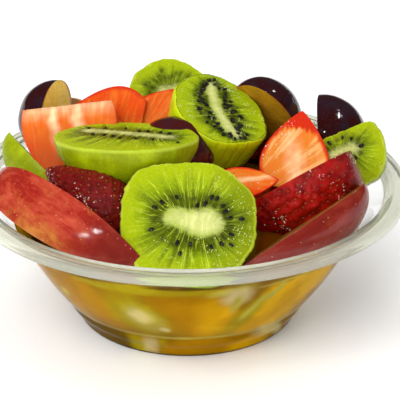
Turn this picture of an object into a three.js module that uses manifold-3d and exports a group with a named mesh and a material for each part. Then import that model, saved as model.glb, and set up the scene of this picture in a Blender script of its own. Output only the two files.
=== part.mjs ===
// Fruit salad in its clear bowl: kiwi, strawberry, plum and nectarine pieces heaped on a bed
// of soft yellow fruit. Millimetres, +Z up, origin at the middle of the bowl's flat base.
import * as THREE from "three";
import { mergeVertices } from "three/addons/utils/BufferGeometryUtils.js";
import Module from "manifold-3d";

const wasm = await Module();
wasm.setup();

// ---------------------------------------------------------------- driving dimensions

const TOUCH_GAP = 0.4; // clearance left where two pieces touch
const WALL_GAP = 0.35; // clearance between the fruit and the bowl's inner wall
const BOWL_SIDES = 40;
const BED_SIDES = 20;
const HEAP_TOP = 130; // above the highest piece

const BOWL = {
  wall: 1.0,
  baseRadius: 39.8,
  baseRound: 3.5,
  footRadius: 46.6,
  footHeight: 8.0,
  stepRadius: 47.8,
  stepHeight: 10.7,
  bellyRadius: 56.0,
  bellyHeight: 19.7,
  ringRadius: 66.1,
  ringHeight: 38.5,
  lipRadius: 78.4,
  lipHeight: 55.4,
  flangeRadius: 85.0,
  flangeDrop: 3.6,
};

const COLOURS = {
  clear: { color: 0xe8efe9, roughness: 0.12, metalness: 0, transparent: true, opacity: 0.3 },
  kiwi: { color: 0x9dbd12, roughness: 0.35, metalness: 0 },
  plum: { color: 0x2a1522, roughness: 0.15, metalness: 0 },
  strawberry: { color: 0xc02812, roughness: 0.3, metalness: 0 },
  nectarine: { color: 0xa8322a, roughness: 0.3, metalness: 0 },
  bed: { color: 0xc98a08, roughness: 0.35, metalness: 0 },
};

// ---------------------------------------------------------------- solids

function closed(geometry) {
  const bare = geometry.index ? geometry.toNonIndexed() : geometry.clone();
  for (const key of Object.keys(bare.attributes)) {
    if (key !== "position") bare.deleteAttribute(key);
  }
  return mergeVertices(bare, 1e-4);
}

function toSolid(geometry) {
  const merged = closed(geometry);
  const vertProperties = new Float32Array(merged.attributes.position.array);
  const triVerts = new Uint32Array(merged.index.array);
  return new wasm.Manifold(new wasm.Mesh({ numProp: 3, vertProperties, triVerts }));
}

function toGeometry(solid) {
  const mesh = solid.getMesh();
  const geometry = new THREE.BufferGeometry();
  const corners = new Float32Array(mesh.vertProperties);
  geometry.setAttribute("position", new THREE.BufferAttribute(corners, 3));
  geometry.setIndex(new THREE.BufferAttribute(new Uint32Array(mesh.triVerts), 1));
  return geometry;
}

// The largest body that a cut leaves; loose scraps are dropped.
function largest(solid) {
  const bodies = solid.decompose();
  bodies.sort((a, b) => b.volume() - a.volume());
  return bodies[0];
}

function block(x0, x1, y0, y1, z0, z1) {
  const box = new THREE.BoxGeometry(x1 - x0, y1 - y0, z1 - z0);
  return box.translate((x0 + x1) / 2, (y0 + y1) / 2, (z0 + z1) / 2);
}

function turned(profile, sides) {
  return new THREE.LatheGeometry(profile, sides).rotateX(Math.PI / 2);
}

function point(x, y) {
  return new THREE.Vector2(x, y);
}

// ---------------------------------------------------------------- fruit shapes
// A slice or a half has its cut face in its local XY plane, facing +Z, with its body below.
// A wedge has its core along local Y and the middle of its skin towards +Z.

// Outline of a slice peeled with a knife: a round cut by flats, given as [degrees, distance].
function knifeOutline(flats, steps, sharpness = 12) {
  const outline = [];
  for (let i = 0; i < steps; i++) {
    const angle = (2 * Math.PI * i) / steps;
    let sum = 0;
    for (const [degrees, distance] of flats) {
      const reach = Math.cos(angle - THREE.MathUtils.degToRad(degrees)) / distance;
      if (reach > 0) sum += reach ** sharpness;
    }
    const radius = sum ** (-1 / sharpness);
    outline.push(point(radius * Math.cos(angle), radius * Math.sin(angle)));
  }
  return outline;
}

// Flats of nearly one distance, each a little off its place by a repeating rule.
function evenFlats(distance, count, start) {
  const flats = [];
  for (let i = 0; i < count; i++) {
    const sway = Math.sin(2.4 * i + start);
    flats.push([start + (360 * i) / count + 6 * sway, distance * (1 + 0.03 * Math.cos(3.1 * i + start))]);
  }
  return flats;
}

function kiwiSlice({ flats, thick, taper = 0.94 }) {
  const steps = 22;
  const worn = 0.015; // how far the knife's edges are worn round, as a share of the width
  const rows = [
    [1 - worn, 0],
    [1, -0.14 * thick],
    [taper, -0.9 * thick],
    [taper - 2 * worn, -thick],
  ];
  return stackedRings(knifeOutline(flats, steps), rows);
}

// A closed body from one outline repeated at several heights, each scaled.
function stackedRings(outline, rows) {
  const positions = [];
  const count = outline.length;
  const last = rows.length - 1;
  const at = (row, i) => {
    const [scale, z] = rows[row];
    const p = outline[(i + count) % count];
    return [p.x * scale, p.y * scale, z];
  };
  for (let i = 0; i < count; i++) {
    positions.push(0, 0, rows[0][1], ...at(0, i), ...at(0, i + 1));
    for (let row = 0; row < last; row++) {
      positions.push(...at(row, i), ...at(row + 1, i), ...at(row + 1, i + 1));
      positions.push(...at(row, i), ...at(row + 1, i + 1), ...at(row, i + 1));
    }
    positions.push(0, 0, rows[last][1], ...at(last, i + 1), ...at(last, i));
  }
  const geometry = new THREE.BufferGeometry();
  geometry.setAttribute("position", new THREE.Float32BufferAttribute(positions, 3));
  return geometry;
}

function ellipsoid([rx, ry, rz], around, along) {
  return new THREE.SphereGeometry(1, around, along).scale(rx, ry, rz);
}

function kiwiHalf({ radii }) {
  const reach = 2 * Math.max(...radii);
  const whole = toSolid(ellipsoid(radii, 20, 11));
  const below = toSolid(block(-reach, reach, -reach, reach, -reach, 0));
  return toGeometry(whole.intersect(below));
}

// A sector round the core: an ellipsoid kept between two cuts that meet on the Y axis.
function wedge({ radii, half }) {
  const reach = 2 * Math.max(...radii);
  const shape = new THREE.Shape();
  const parts = 4;
  shape.moveTo(0, 0);
  for (let i = 0; i <= parts; i++) {
    const angle = THREE.MathUtils.degToRad(half * ((2 * i) / parts - 1));
    shape.lineTo(reach * Math.sin(angle), reach * Math.cos(angle));
  }
  const prism = new THREE.ExtrudeGeometry(shape, { depth: 2 * radii[1], bevelEnabled: false });
  prism.rotateX(Math.PI / 2).translate(0, radii[1], 0);
  return toGeometry(toSolid(ellipsoid(radii, 18, 10)).intersect(toSolid(prism)));
}

// The hollow that a stone leaves in the middle of its fruit.
function stone(radius) {
  return ellipsoid([radius, radius * 1.35, radius], 7, 5);
}

// Strawberry body round its local Y axis, tip down, with the hull cut off at the top. The dome
// is how far the middle of that end rises above its edge, or sinks below it.
function strawberryBody({ radius, length, hull = 0.9, dome = -1.8 }) {
  const rings = 7;
  const profile = [point(0, -length / 2)];
  for (let i = 1; i <= rings; i++) {
    const t = (hull * i) / rings;
    const swell = Math.sin(Math.PI * t ** 1.2) ** 0.7;
    profile.push(point(radius * swell, length * (t - 0.5)));
  }
  const top = profile[profile.length - 1];
  const rises = dome > 0 ? [[0.88, 0.48], [0.5, 0.87]] : [[0.5, 0.45]];
  for (const [across, rise] of rises) profile.push(point(top.x * across, top.y + dome * rise));
  profile.push(point(0, top.y + dome));
  return new THREE.LatheGeometry(profile, 15);
}

// A strawberry kept between two cuts across its width; the one at z = 0 is the face.
function strawberryCut({ radius, length, hull, dome, back = 2 * radius, ends = [-length, length] }) {
  const body = strawberryBody({ radius, length, hull, dome });
  const keep = block(-2 * radius, 2 * radius, ends[0], ends[1], -back, 0);
  return toGeometry(toSolid(body).intersect(toSolid(keep)));
}

// A soft chunk with round corners: a box-like ball, a little narrower at one end.
function chunk([hx, hy, hz], squareness = 0.62) {
  const ball = new THREE.SphereGeometry(1, 9, 6);
  const p = ball.attributes.position;
  const soften = (v) => Math.sign(v) * Math.abs(v) ** squareness;
  for (let i = 0; i < p.count; i++) {
    const narrow = 1 - 0.08 * soften(p.getX(i));
    p.setXYZ(i, hx * soften(p.getX(i)), hy * narrow * soften(p.getY(i)), hz * soften(p.getZ(i)));
  }
  return ball;
}

// ---------------------------------------------------------------- placing

// Turns local +Z to a direction: azimuth 0 is the front (-Y), 90 is +X; then rolls about it.
function facing([azimuth, elevation, roll]) {
  const a = THREE.MathUtils.degToRad(azimuth);
  const e = THREE.MathUtils.degToRad(elevation);
  const normal = new THREE.Vector3(Math.sin(a) * Math.cos(e), -Math.cos(a) * Math.cos(e), Math.sin(e));
  const right = new THREE.Vector3(Math.cos(a), Math.sin(a), 0);
  const up = new THREE.Vector3().crossVectors(normal, right);
  const basis = new THREE.Matrix4().makeBasis(right, up, normal);
  const spin = new THREE.Matrix4().makeRotationZ(THREE.MathUtils.degToRad(roll));
  return new THREE.Quaternion().setFromRotationMatrix(basis.multiply(spin));
}

function placed({ at, turn }) {
  return new THREE.Matrix4().compose(new THREE.Vector3(...at), facing(turn), new THREE.Vector3(1, 1, 1));
}

// The same body, larger by the gap on every side of its own box.
function grown(geometry, gap) {
  geometry.computeBoundingBox();
  const middle = geometry.boundingBox.getCenter(new THREE.Vector3());
  const size = geometry.boundingBox.getSize(new THREE.Vector3());
  const copy = geometry.clone().translate(-middle.x, -middle.y, -middle.z);
  copy.scale(1 + (2 * gap) / size.x, 1 + (2 * gap) / size.y, 1 + (2 * gap) / size.z);
  return copy.translate(middle.x, middle.y, middle.z);
}

// ---------------------------------------------------------------- bowl

function bowlOuterProfile() {
  const b = BOWL;
  const profile = [point(0, 0), point(b.baseRadius, 0)];
  const rounding = Math.PI / 3.4;
  const roundX = b.baseRadius + b.baseRound * Math.sin(rounding);
  profile.push(point(roundX, b.baseRound * (1 - Math.cos(rounding))));
  profile.push(point(b.footRadius, b.footHeight));
  profile.push(point(b.stepRadius, b.stepHeight));
  const belly = new THREE.QuadraticBezierCurve(
    point(b.stepRadius, b.stepHeight),
    point(b.bellyRadius, b.bellyHeight),
    point(b.ringRadius, b.ringHeight),
  );
  profile.push(...belly.getPoints(3).slice(1));
  return profile;
}

// The inner side of the wall, or a surface that stands off it by a gap.
function bowlInnerProfile(gap) {
  const b = BOWL;
  const offset = b.wall + gap;
  return bowlOuterProfile().map((p) => {
    const lift = p.y < b.footHeight ? offset : offset / 4;
    return point(Math.max(p.x - offset, 0), p.y + lift);
  });
}

function bowlProfile() {
  const b = BOWL;
  const rim = [
    point(b.lipRadius - 0.5, b.lipHeight - 1.7),
    point(b.flangeRadius - 1.1, b.lipHeight - 2.0),
    point(b.flangeRadius - 0.8, b.lipHeight - b.flangeDrop),
    point(b.flangeRadius, b.lipHeight - b.flangeDrop),
    point(b.flangeRadius, b.lipHeight - 1.0),
    point(b.flangeRadius - 1.2, b.lipHeight - 0.6),
    point(b.lipRadius + 0.2, b.lipHeight),
    point(b.lipRadius - 0.9, b.lipHeight),
  ];
  return [...bowlOuterProfile(), ...rim, ...bowlInnerProfile(0).reverse()];
}

// Everything inside the bowl and above it, short of the wall by the wall gap.
function interior(sides) {
  const b = BOWL;
  const mouth = b.flangeRadius + 10;
  const profile = [
    ...bowlInnerProfile(WALL_GAP),
    point(b.lipRadius - 0.9 - WALL_GAP, b.lipHeight + 0.1),
    point(mouth, b.lipHeight + 6),
    point(mouth, HEAP_TOP),
    point(0, HEAP_TOP),
  ];
  return turned(profile, sides);
}

// ---------------------------------------------------------------- the pieces
// Listed from what lies on top to what lies below: a piece is relieved where an earlier one
// presses into it. "at" is the piece's own origin and "turn" its azimuth, elevation and roll.

const PIECES = [
  {
    name: "kiwi_slice_front",
    look: "kiwi",
    at: [0.5, -50.0, 61.6],
    turn: [0, 45, 0],
    shape: () => kiwiSlice({
      flats: [[0, 25], [50, 24.4], [93, 23], [140, 28], [177, 25.3], [216, 26.5], [262, 25], [318, 25.5]],
      thick: 9,
    }),
  },
  {
    name: "kiwi_half_left",
    look: "kiwi",
    at: [-23, -13, 79.3],
    turn: [0, 98.5, 0],
    shape: () => kiwiHalf({ radii: [27.6, 21.5, 19.8] }),
  },
  {
    name: "plum_half_centre",
    look: "plum",
    at: [-4.2, 3, 66.5],
    turn: [20, 55, 60],
    pit: 5,
    shape: () => wedge({ radii: [13, 15, 13], half: 90 }),
  },
  {
    name: "kiwi_slab_centre",
    look: "kiwi",
    at: [13.6, 17, 78.4],
    turn: [50, 65, 0],
    shape: () => kiwiSlice({
      flats: [[0, 17.2], [32, 20], [60, 21.3], [95, 19.8], [135, 19.6], [178, 20.5], [215, 22.5], [250, 20],
        [284, 21.5], [322, 17.6]],
      thick: 16,
      taper: 0.9,
    }),
  },
  {
    name: "strawberry_half_right",
    look: "strawberry",
    at: [41.8, 2, 63],
    turn: [5, 40, 168],
    shape: () => strawberryCut({ radius: 13.6, length: 40, hull: 0.8 }),
  },
  {
    name: "strawberry_half_small",
    look: "strawberry",
    at: [21, -16, 61.5],
    turn: [0, 70, 96],
    shape: () => strawberryCut({ radius: 8.5, length: 28 }),
  },
  {
    name: "nectarine_wedge_right",
    look: "nectarine",
    at: [37.6, -38.9, 50.9],
    turn: [58, -50, -37.8],
    shape: () => wedge({ radii: [19, 34, 17], half: 90 }),
  },
  {
    name: "strawberry_skin_right",
    look: "strawberry",
    at: [40.2, -15, 60.4],
    turn: [226.2, 49.7, 48.5],
    shape: () => strawberryCut({ radius: 22, length: 72, hull: 0.78, dome: 5, ends: [-30, 30] }),
  },
  {
    name: "nectarine_wedge_left",
    look: "nectarine",
    at: [-41.5, -30.3, 48.4],
    turn: [-32.6, 38.4, 75.8],
    pit: 11,
    shape: () => wedge({ radii: [27.4, 40.5, 27.4], half: 21.5 }),
  },
  {
    name: "kiwi_slice_right",
    look: "kiwi",
    at: [61.8, 4, 64.2],
    turn: [-20, 32, 0],
    shape: () => kiwiSlice({
      flats: [[352, 15.5], [25, 15.5], [57, 16.5], [120, 9.5], [190, 15], [240, 14], [290, 13.5],
        [318, 15.2]],
      thick: 8,
    }),
  },
  {
    name: "strawberry_skin_left",
    look: "strawberry",
    at: [-35.8, -29.6, 60.9],
    turn: [170, -45, 120],
    shape: () => strawberryCut({ radius: 13, length: 44 }),
  },
  {
    name: "kiwi_wedge_left",
    look: "kiwi",
    at: [-52.6, 10, 52.8],
    turn: [-20, 2, 49],
    shape: () => wedge({ radii: [15, 24, 15], half: 30 }),
  },
  {
    name: "strawberry_half_left",
    look: "strawberry",
    at: [-45.1, 5, 74],
    turn: [-4, 32, 8],
    shape: () => strawberryCut({ radius: 18.4, length: 56, hull: 0.68 }),
  },
  {
    name: "strawberry_slice_rear_left",
    look: "strawberry",
    at: [-29.5, 17, 71.5],
    turn: [0, 35, -102],
    shape: () => strawberryCut({ radius: 16, length: 38, hull: 0.8 }),
  },
  {
    name: "strawberry_slice_rear_right",
    look: "strawberry",
    at: [-13, 19, 70.5],
    turn: [0, 35, 148],
    shape: () => strawberryCut({ radius: 13, length: 34, hull: 0.8, back: 9 }),
  },
  {
    name: "kiwi_slice_rear",
    look: "kiwi",
    at: [-7.1, 36, 75.4],
    turn: [0, 40, 0],
    shape: () => kiwiSlice({ flats: evenFlats(16.3, 9, 5), thick: 8 }),
  },
  {
    name: "plum_half_rear",
    look: "plum",
    at: [31, 33, 66.5],
    turn: [145, 28, 0],
    shape: () => wedge({ radii: [15, 20, 15], half: 90 }),
  },
  {
    name: "plum_half_left",
    look: "plum",
    at: [-51.5, 24, 71],
    turn: [-113, -1, 8],
    shape: () => wedge({ radii: [14.7, 15.5, 14.7], half: 90 }),
  },
  {
    name: "plum_wedge_right",
    look: "plum",
    at: [54.5, 30, 59.5],
    turn: [55, 25, -25],
    pit: 6,
    shape: () => wedge({ radii: [17, 18, 17], half: 60 }),
  },
  {
    name: "kiwi_slice_back",
    look: "kiwi",
    at: [-10, 56, 60],
    turn: [186, 50, 20],
    shape: () => kiwiSlice({ flats: evenFlats(21, 8, 30), thick: 8 }),
  },
  {
    name: "strawberry_half_back",
    look: "strawberry",
    at: [22, 50, 56],
    turn: [160, 45, 200],
    shape: () => strawberryCut({ radius: 15, length: 40, hull: 0.8 }),
  },
  {
    name: "nectarine_wedge_back",
    look: "nectarine",
    at: [-38, 46, 46],
    turn: [-150, -38, -12],
    pit: 8,
    shape: () => wedge({ radii: [15, 26, 13], half: 90 }),
  },
  {
    name: "plum_half_back",
    look: "plum",
    at: [45, 44, 48],
    turn: [140, 45, 60],
    pit: 6,
    shape: () => wedge({ radii: [13, 16, 12], half: 90 }),
  },
  {
    name: "strawberry_skin_back",
    look: "strawberry",
    at: [-34, 32, 58],
    turn: [10, -50, 60],
    shape: () => strawberryCut({ radius: 14, length: 40 }),
  },
];

// ---------------------------------------------------------------- bed
// Soft yellow chunks packed round a core. The core stands back from the wall and rises to the
// middle, and the chunks on it reach the wall.

const BED = {
  setBack: 3.2,
  wallLevel: 38.5,
  crown: [[52, 42], [38, 51], [20, 57], [0, 58]],
};

// Rings of chunks against the wall: how many, at what radius and height, and their half sizes.
const CHUNK_RINGS = [
  { count: 8, radius: 51.5, height: 30, half: [15.5, 11, 9], lean: 42, start: 8 },
  { count: 5, radius: 36.5, height: 9.0, half: [15, 9, 7.5], lean: 60, start: 34 },
];

function bedCore() {
  const b = BOWL;
  const back = b.wall + BED.setBack;
  const profile = [point(0, b.wall + 1.2), point(b.baseRadius - 3, b.wall + 1.2)];
  for (const p of bowlOuterProfile().slice(3)) profile.push(point(p.x - back, p.y));
  profile.push(point(b.ringRadius - back - 1, BED.wallLevel + 1.5));
  for (const [radius, height] of BED.crown) profile.push(point(radius, height));
  return toSolid(turned(profile, BED_SIDES));
}

function bedSolid(standing) {
  let solid = bedCore();
  for (const ring of CHUNK_RINGS) {
    for (let i = 0; i < ring.count; i++) {
      const sway = Math.sin(2.1 * i + ring.start);
      const azimuth = ring.start + (360 / ring.count) * i + 5 * sway;
      const a = THREE.MathUtils.degToRad(azimuth);
      const size = ring.half.map((v, k) => v * (1 + 0.1 * Math.sin(1.7 * i + 2 * k)));
      const matrix = placed({
        at: [ring.radius * Math.sin(a), -ring.radius * Math.cos(a), ring.height + 1.6 * sway],
        turn: [azimuth, -(90 - ring.lean), 14 * Math.cos(3.3 * i)],
      });
      solid = solid.add(toSolid(chunk(size).applyMatrix4(matrix)));
    }
  }
  solid = solid.intersect(toSolid(interior(BED_SIDES)));
  for (const other of standing) solid = solid.subtract(toSolid(other));
  return largest(solid);
}

// ---------------------------------------------------------------- assembly

const salad = new THREE.Group();

function addMesh(name, look, geometry, matrix = new THREE.Matrix4()) {
  const mesh = new THREE.Mesh(closed(geometry), new THREE.MeshStandardMaterial(COLOURS[look]));
  mesh.name = name;
  matrix.decompose(mesh.position, mesh.quaternion, mesh.scale);
  salad.add(mesh);
}

function touches(a, b) {
  a.computeBoundingBox();
  b.computeBoundingBox();
  return a.boundingBox.intersectsBox(b.boundingBox);
}

function buildPieces() {
  const inside = interior(BOWL_SIDES);
  const standing = [];
  for (const piece of PIECES) {
    const matrix = placed(piece);
    const world = piece.shape().applyMatrix4(matrix);
    let solid = toSolid(world).intersect(toSolid(inside));
    for (const other of standing) {
      if (touches(world, other)) solid = solid.subtract(toSolid(other));
    }
    if (piece.pit) solid = solid.subtract(toSolid(stone(piece.pit).applyMatrix4(matrix)));
    standing.push(grown(piece.shape(), TOUCH_GAP).applyMatrix4(matrix));
    const local = toGeometry(largest(solid)).applyMatrix4(matrix.clone().invert());
    addMesh(piece.name, piece.look, local, matrix);
  }
  return standing;
}

addMesh("bowl", "clear", turned(bowlProfile(), BOWL_SIDES));
addMesh("bed", "bed", toGeometry(bedSolid(buildPieces())));

export default salad;
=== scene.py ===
"""Fruit salad in a clear bowl: kiwi, strawberry, plum and nectarine pieces on a bed of soft
yellow fruit in juice. Lengths are in millimetres until a mesh is made, and then in metres."""

import math

import bpy
import numpy as np
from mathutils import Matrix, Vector


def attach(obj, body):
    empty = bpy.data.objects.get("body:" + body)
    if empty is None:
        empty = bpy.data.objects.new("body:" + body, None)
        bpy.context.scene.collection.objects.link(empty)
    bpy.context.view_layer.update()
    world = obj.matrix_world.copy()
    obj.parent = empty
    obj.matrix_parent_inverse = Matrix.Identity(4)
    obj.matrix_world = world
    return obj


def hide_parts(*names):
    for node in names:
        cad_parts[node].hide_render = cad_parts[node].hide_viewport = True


bl_info = {
    "name": "Fruit Salad Bowl",
    "version": (1, 0, 0),
    "blender": (4, 5, 0),
    "location": "View3D > Sidebar > Fruit Salad",
    "description": "Builds a clear bowl heaped with cut fruit",
    "category": "Object",
}

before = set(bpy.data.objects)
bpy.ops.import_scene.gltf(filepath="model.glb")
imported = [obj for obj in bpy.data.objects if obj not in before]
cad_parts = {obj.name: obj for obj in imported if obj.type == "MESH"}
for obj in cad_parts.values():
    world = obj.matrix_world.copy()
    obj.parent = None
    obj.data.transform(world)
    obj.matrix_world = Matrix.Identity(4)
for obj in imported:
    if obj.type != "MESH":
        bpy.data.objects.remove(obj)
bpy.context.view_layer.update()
MM = 0.001
TAU = 2 * math.pi
GOLDEN_ANGLE = 2.39996

# The bowl's outer side up to the rim: radius and height.
BASE_RADIUS = 39.8
FOOT = (47.0, 7.6)
STEP = (47.8, 10.7)
BELLY = (56.0, 19.7)
RING = (66.1, 38.5)
LIP = (78.4, 55.4)
FLANGE_RADIUS = 85.0
FLANGE_DROP = 3.6
HAZE_DROP = 3.7
WALL_THICK = 0.9
WALL_CLEAR = 0.35

CAMERA_DISTANCE = 900.0
CAMERA_ELEVATION = 24.05
CAMERA_YAW = 0.344
CAMERA_PITCH = 0.471
CAMERA_LENS = 209.78
AIM_HEIGHT = 55.0
FLOOR_REACH = 6.0
FLOOR_DROP = 0.2
LAMP_AIM = (0, 0, 60)
# Small bright lamps for glints on the wet fruit: place, size and power.
GLINT_LIGHTS = [((-100, -640, 680), 60, 1.6), ((-337, -722, 539), 45, 0.9),
                ((420, 120, 620), 90, 0.8)]

# ------------------------------------------------------------------ settings


def colour(name, description, default):
    """A colour setting, in linear values."""
    return bpy.props.FloatVectorProperty(
        name=name, description=description, default=default, subtype="COLOR", min=0, max=1
    )


def length(name, description, default):
    """A length setting, in millimetres."""
    return bpy.props.FloatProperty(name=name, description=description, default=default, min=0)


def number(name, description, default):
    """A count or a random seed."""
    return bpy.props.IntProperty(name=name, description=description, default=default, min=0)


class BowlSettings(bpy.types.PropertyGroup):
    wall: length("Wall", "Thickness of the clear wall, in mm", WALL_THICK)
    sides: number("Sides", "Steps round the bowl", 192)
    tint: colour("Tint", "Colour of the clear plastic", (0.96, 0.97, 0.96))
    haze: colour("Haze", "Colour of the hazy rim", (0.74, 0.75, 0.64))


class KiwiSettings(bpy.types.PropertyGroup):
    flesh: colour("Flesh", "Bright green flesh", (0.26, 0.37, 0.0025))
    deep: colour("Deep flesh", "Dark green round the seeds", (0.065, 0.10, 0.004))
    rim: colour("Rim", "Yellow-green flesh under the peel", (0.37, 0.47, 0.003))
    core: colour("Core", "Pale core", (0.66, 0.70, 0.20))
    side: colour("Peeled side", "Smooth flesh where the peel was cut off", (0.27, 0.33, 0.0015))
    seed_length: length("Seed length", "Length of a seed, in mm", 2.15)
    seed_width: length("Seed width", "Width of a seed, in mm", 1.25)
    seed: number("Random seed", "Seed for the draws on the kiwi", 11)


class StrawberrySettings(bpy.types.PropertyGroup):
    skin: colour("Skin", "Red skin", (0.32, 0.0022, 0.0012))
    maroon: colour("Maroon", "Skin of overripe berries", (0.085, 0.005, 0.005))
    rim: colour("Rim", "Red flesh under the skin", (0.60, 0.022, 0.003))
    flesh: colour("Flesh", "Ripe orange-red flesh", (0.74, 0.076, 0.0005))
    peach: colour("Peach flesh", "Paler orange flesh", (0.72, 0.235, 0.020))
    pale: colour("Pale flesh", "Cream fibres and core", (0.86, 0.54, 0.21))
    pip_length: length("Pip length", "Length of a pip, in mm", 1.1)
    pip_width: length("Pip width", "Width of a pip, in mm", 0.62)
    pip_gap: length("Pip spacing", "Distance between pips, in mm", 3.4)
    seed: number("Random seed", "Seed for the draws on the strawberries", 5)


class StoneFruitSettings(bpy.types.PropertyGroup):
    plum_skin: colour("Plum skin", "Nearly black skin", (0.020, 0.009, 0.016))
    plum_blush: colour("Plum blush", "Dark red in the plum's skin", (0.12, 0.012, 0.010))
    plum_flesh: colour("Plum flesh", "Amber flesh", (0.54, 0.265, 0.012))
    nectarine_red: colour("Nectarine red", "Red of the skin", (0.30, 0.015, 0.008))
    nectarine_rose: colour("Nectarine rose", "Paler red of the skin", (0.50, 0.075, 0.035))
    nectarine_gold: colour("Nectarine gold", "Orange of the skin", (0.50, 0.18, 0.036))
    nectarine_flesh: colour("Nectarine flesh", "Amber flesh", (0.26, 0.10, 0.012))


class BedSettings(bpy.types.PropertyGroup):
    fruit: colour("Fruit", "Soft amber fruit", (0.43, 0.205, 0.0006))
    gold: colour("Golden fruit", "Brighter fruit", (0.74, 0.41, 0.0009))
    juice: colour("Juice", "Amber juice between the chunks", (0.30, 0.15, 0.002))
    # Pale, white and dark also paint some highlights and shade on the bed, as its patch table says.
    dark: colour("Dark juice", "Olive-brown juice low in the bowl", (0.15, 0.080, 0.002))
    green: colour("Green fruit", "Yellow-green fruit under the rim", (0.42, 0.33, 0.003))
    pale: colour("Pale fruit", "Pale patches of the fruit", (0.50, 0.42, 0.05))
    white: colour("White fruit", "Whitish patches of the fruit", (0.66, 0.54, 0.20))
    level: length("Level", "Height of the bed at the wall, in mm", 42.0)
    seed: number("Random seed", "Seed for the draws on the bed", 21)


class SaladSettings(bpy.types.PropertyGroup):
    bowl: bpy.props.PointerProperty(type=BowlSettings)
    kiwi: bpy.props.PointerProperty(type=KiwiSettings)
    strawberry: bpy.props.PointerProperty(type=StrawberrySettings)
    stone: bpy.props.PointerProperty(type=StoneFruitSettings)
    bed: bpy.props.PointerProperty(type=BedSettings)


# ------------------------------------------------------------------ placing


def facing(azimuth, elevation, roll):
    """Turns local +Z to a direction: azimuth 0 is the front (-Y), 90 is +X; then rolls."""
    a, e, r = np.radians([azimuth, elevation, roll])
    normal = np.array([math.sin(a) * math.cos(e), -math.cos(a) * math.cos(e), math.sin(e)])
    right = np.array([math.cos(a), math.sin(a), 0.0])
    up = np.cross(normal, right)
    c, s = math.cos(r), math.sin(r)
    return np.column_stack([right * c + up * s, up * c - right * s, normal])


def placed(points, look):
    """A piece's local points, where the piece lies in the heap."""
    return points @ facing(*look["turn"]).T + np.array(look["at"])


def rotated(x, y, turn):
    """A plane's points, seen from a frame turned by radians."""
    c, s = math.cos(turn), math.sin(turn)
    return x * c + y * s, y * c - x * s


def bezier(a, b, c, steps):
    """Points along a curve from a to c, drawn towards b."""
    t = np.linspace(0, 1, steps)[:, None]
    a, b, c = (np.array(p, float) for p in (a, b, c))
    return ((1 - t) ** 2 * a + 2 * t * (1 - t) * b + t**2 * c).tolist()


def outer_wall():
    """Radius and height along the outer side, from the base's edge to under the lip."""
    base = BASE_RADIUS
    rows = [[base - 6, 0.0], [base - 0.5, 0.0]]
    rows += bezier((base, 0.05), (base + 2.6, 0.5), (base + 3.6, 3.4), 7)
    rows += bezier((base + 4.1, 5.0), FOOT, (STEP[0] - 0.1, STEP[1] - 0.3), 12)
    rows += [list(STEP)] + bezier(STEP, BELLY, RING, 22)[1:]
    rows += bezier((RING[0] + 0.35, RING[1] + 0.5), (70.4, 45.6), (LIP[0] - 0.9, LIP[1] - 2.4), 12)
    return np.array(rows)


def offset_profile(profile, gap):
    """The same profile moved inwards by a gap along its own normal."""
    along = np.gradient(profile, axis=0)
    along /= np.linalg.norm(along, axis=1)[:, None]
    moved = profile + np.column_stack([-along[:, 1], along[:, 0]]) * gap
    moved[:, 0] = np.maximum(moved[:, 0], 0.0)
    return moved


def kept_inside(points):
    """Presses points that would cross the bowl's wall back to its inner side."""
    inset = WALL_THICK + WALL_CLEAR
    lip_end = LIP[1] + 6.2
    rows = np.vstack([offset_profile(outer_wall(), inset)[2:], [LIP[0] - inset, LIP[1] + 0.3],
                      [FLANGE_RADIUS + 10, lip_end]])
    rows = rows[np.argsort(rows[:, 1])]
    free = np.where(points[:, 2] > lip_end, 1e3, np.interp(points[:, 2], rows[:, 1], rows[:, 0]))
    radius = np.hypot(points[:, 0], points[:, 1])
    share = np.where(radius > free, free / np.maximum(radius, 1e-6), 1.0)
    return points * np.column_stack([share, share, np.ones(len(points))])


# ------------------------------------------------------------------ meshes


def waves(points, wavelength, seed, count=7):
    """A smooth uneven field from -1 to 1, as a sum of waves in fixed random directions."""
    draw = np.random.default_rng(seed)
    total = np.zeros(len(points))
    for _ in range(count):
        direction = draw.normal(size=points.shape[1])
        direction /= np.linalg.norm(direction)
        stretch = draw.uniform(0.7, 1.5)
        total += np.sin(points @ direction * TAU * stretch / wavelength + draw.uniform(0, TAU))
    return total / math.sqrt(2 * count) / 1.2


def smooth(low, high, value):
    """Rises softly from 0 at low to 1 at high."""
    t = np.clip((value - low) / (high - low), 0, 1)
    return t * t * (3 - 2 * t)


def unit(vectors):
    """The vectors, all of length 1."""
    return vectors / np.linalg.norm(vectors, axis=1)[:, None].clip(1e-6)


def turned(angles):
    """Points on the unit circle."""
    return np.column_stack([np.cos(angles), np.sin(angles)])


def level(plane, height):
    """Points of a plane, all at one height."""
    return np.column_stack([plane, np.full(len(plane), float(height))])


def upright(plane, place):
    """Points of an upright plane across local Y, at a place along it."""
    return level(plane, place)[:, [0, 2, 1]]


def per_point(values, around):
    """One value a ring, spread over the ring's points, with the poles taking the outer rings'."""
    return np.concatenate([np.repeat(values, around), [values[0], values[-1]]])


def per_column(values, rings, pole):
    """One value a column, the same on every ring, and another for the poles."""
    return np.append(np.tile(values, rings), [pole, pole])


def closed_rings(rings):
    """Vertices and faces of a closed skin through equal rings, with a pole at each end.
    Gives each face's ring and column too."""
    rings = np.array(rings)
    count, around = rings.shape[:2]
    points = np.vstack([rings.reshape(-1, 3), rings[0].mean(0), rings[-1].mean(0)])
    column = np.arange(around)
    following = (column + 1) % around
    faces = []
    for r in range(count - 1):
        a, b = r * around, (r + 1) * around
        faces += np.column_stack([a + column, a + following, b + following, b + column]).tolist()
    end, first = (count - 1) * around, np.full(around, count * around)
    faces += np.column_stack([first, following, column]).tolist()
    faces += np.column_stack([first + 1, end + column, end + following]).tolist()
    row_of = np.repeat(np.append(np.arange(count - 1), [0, count - 2]), around)
    return points, faces, row_of, np.tile(column, count + 1)


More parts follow.
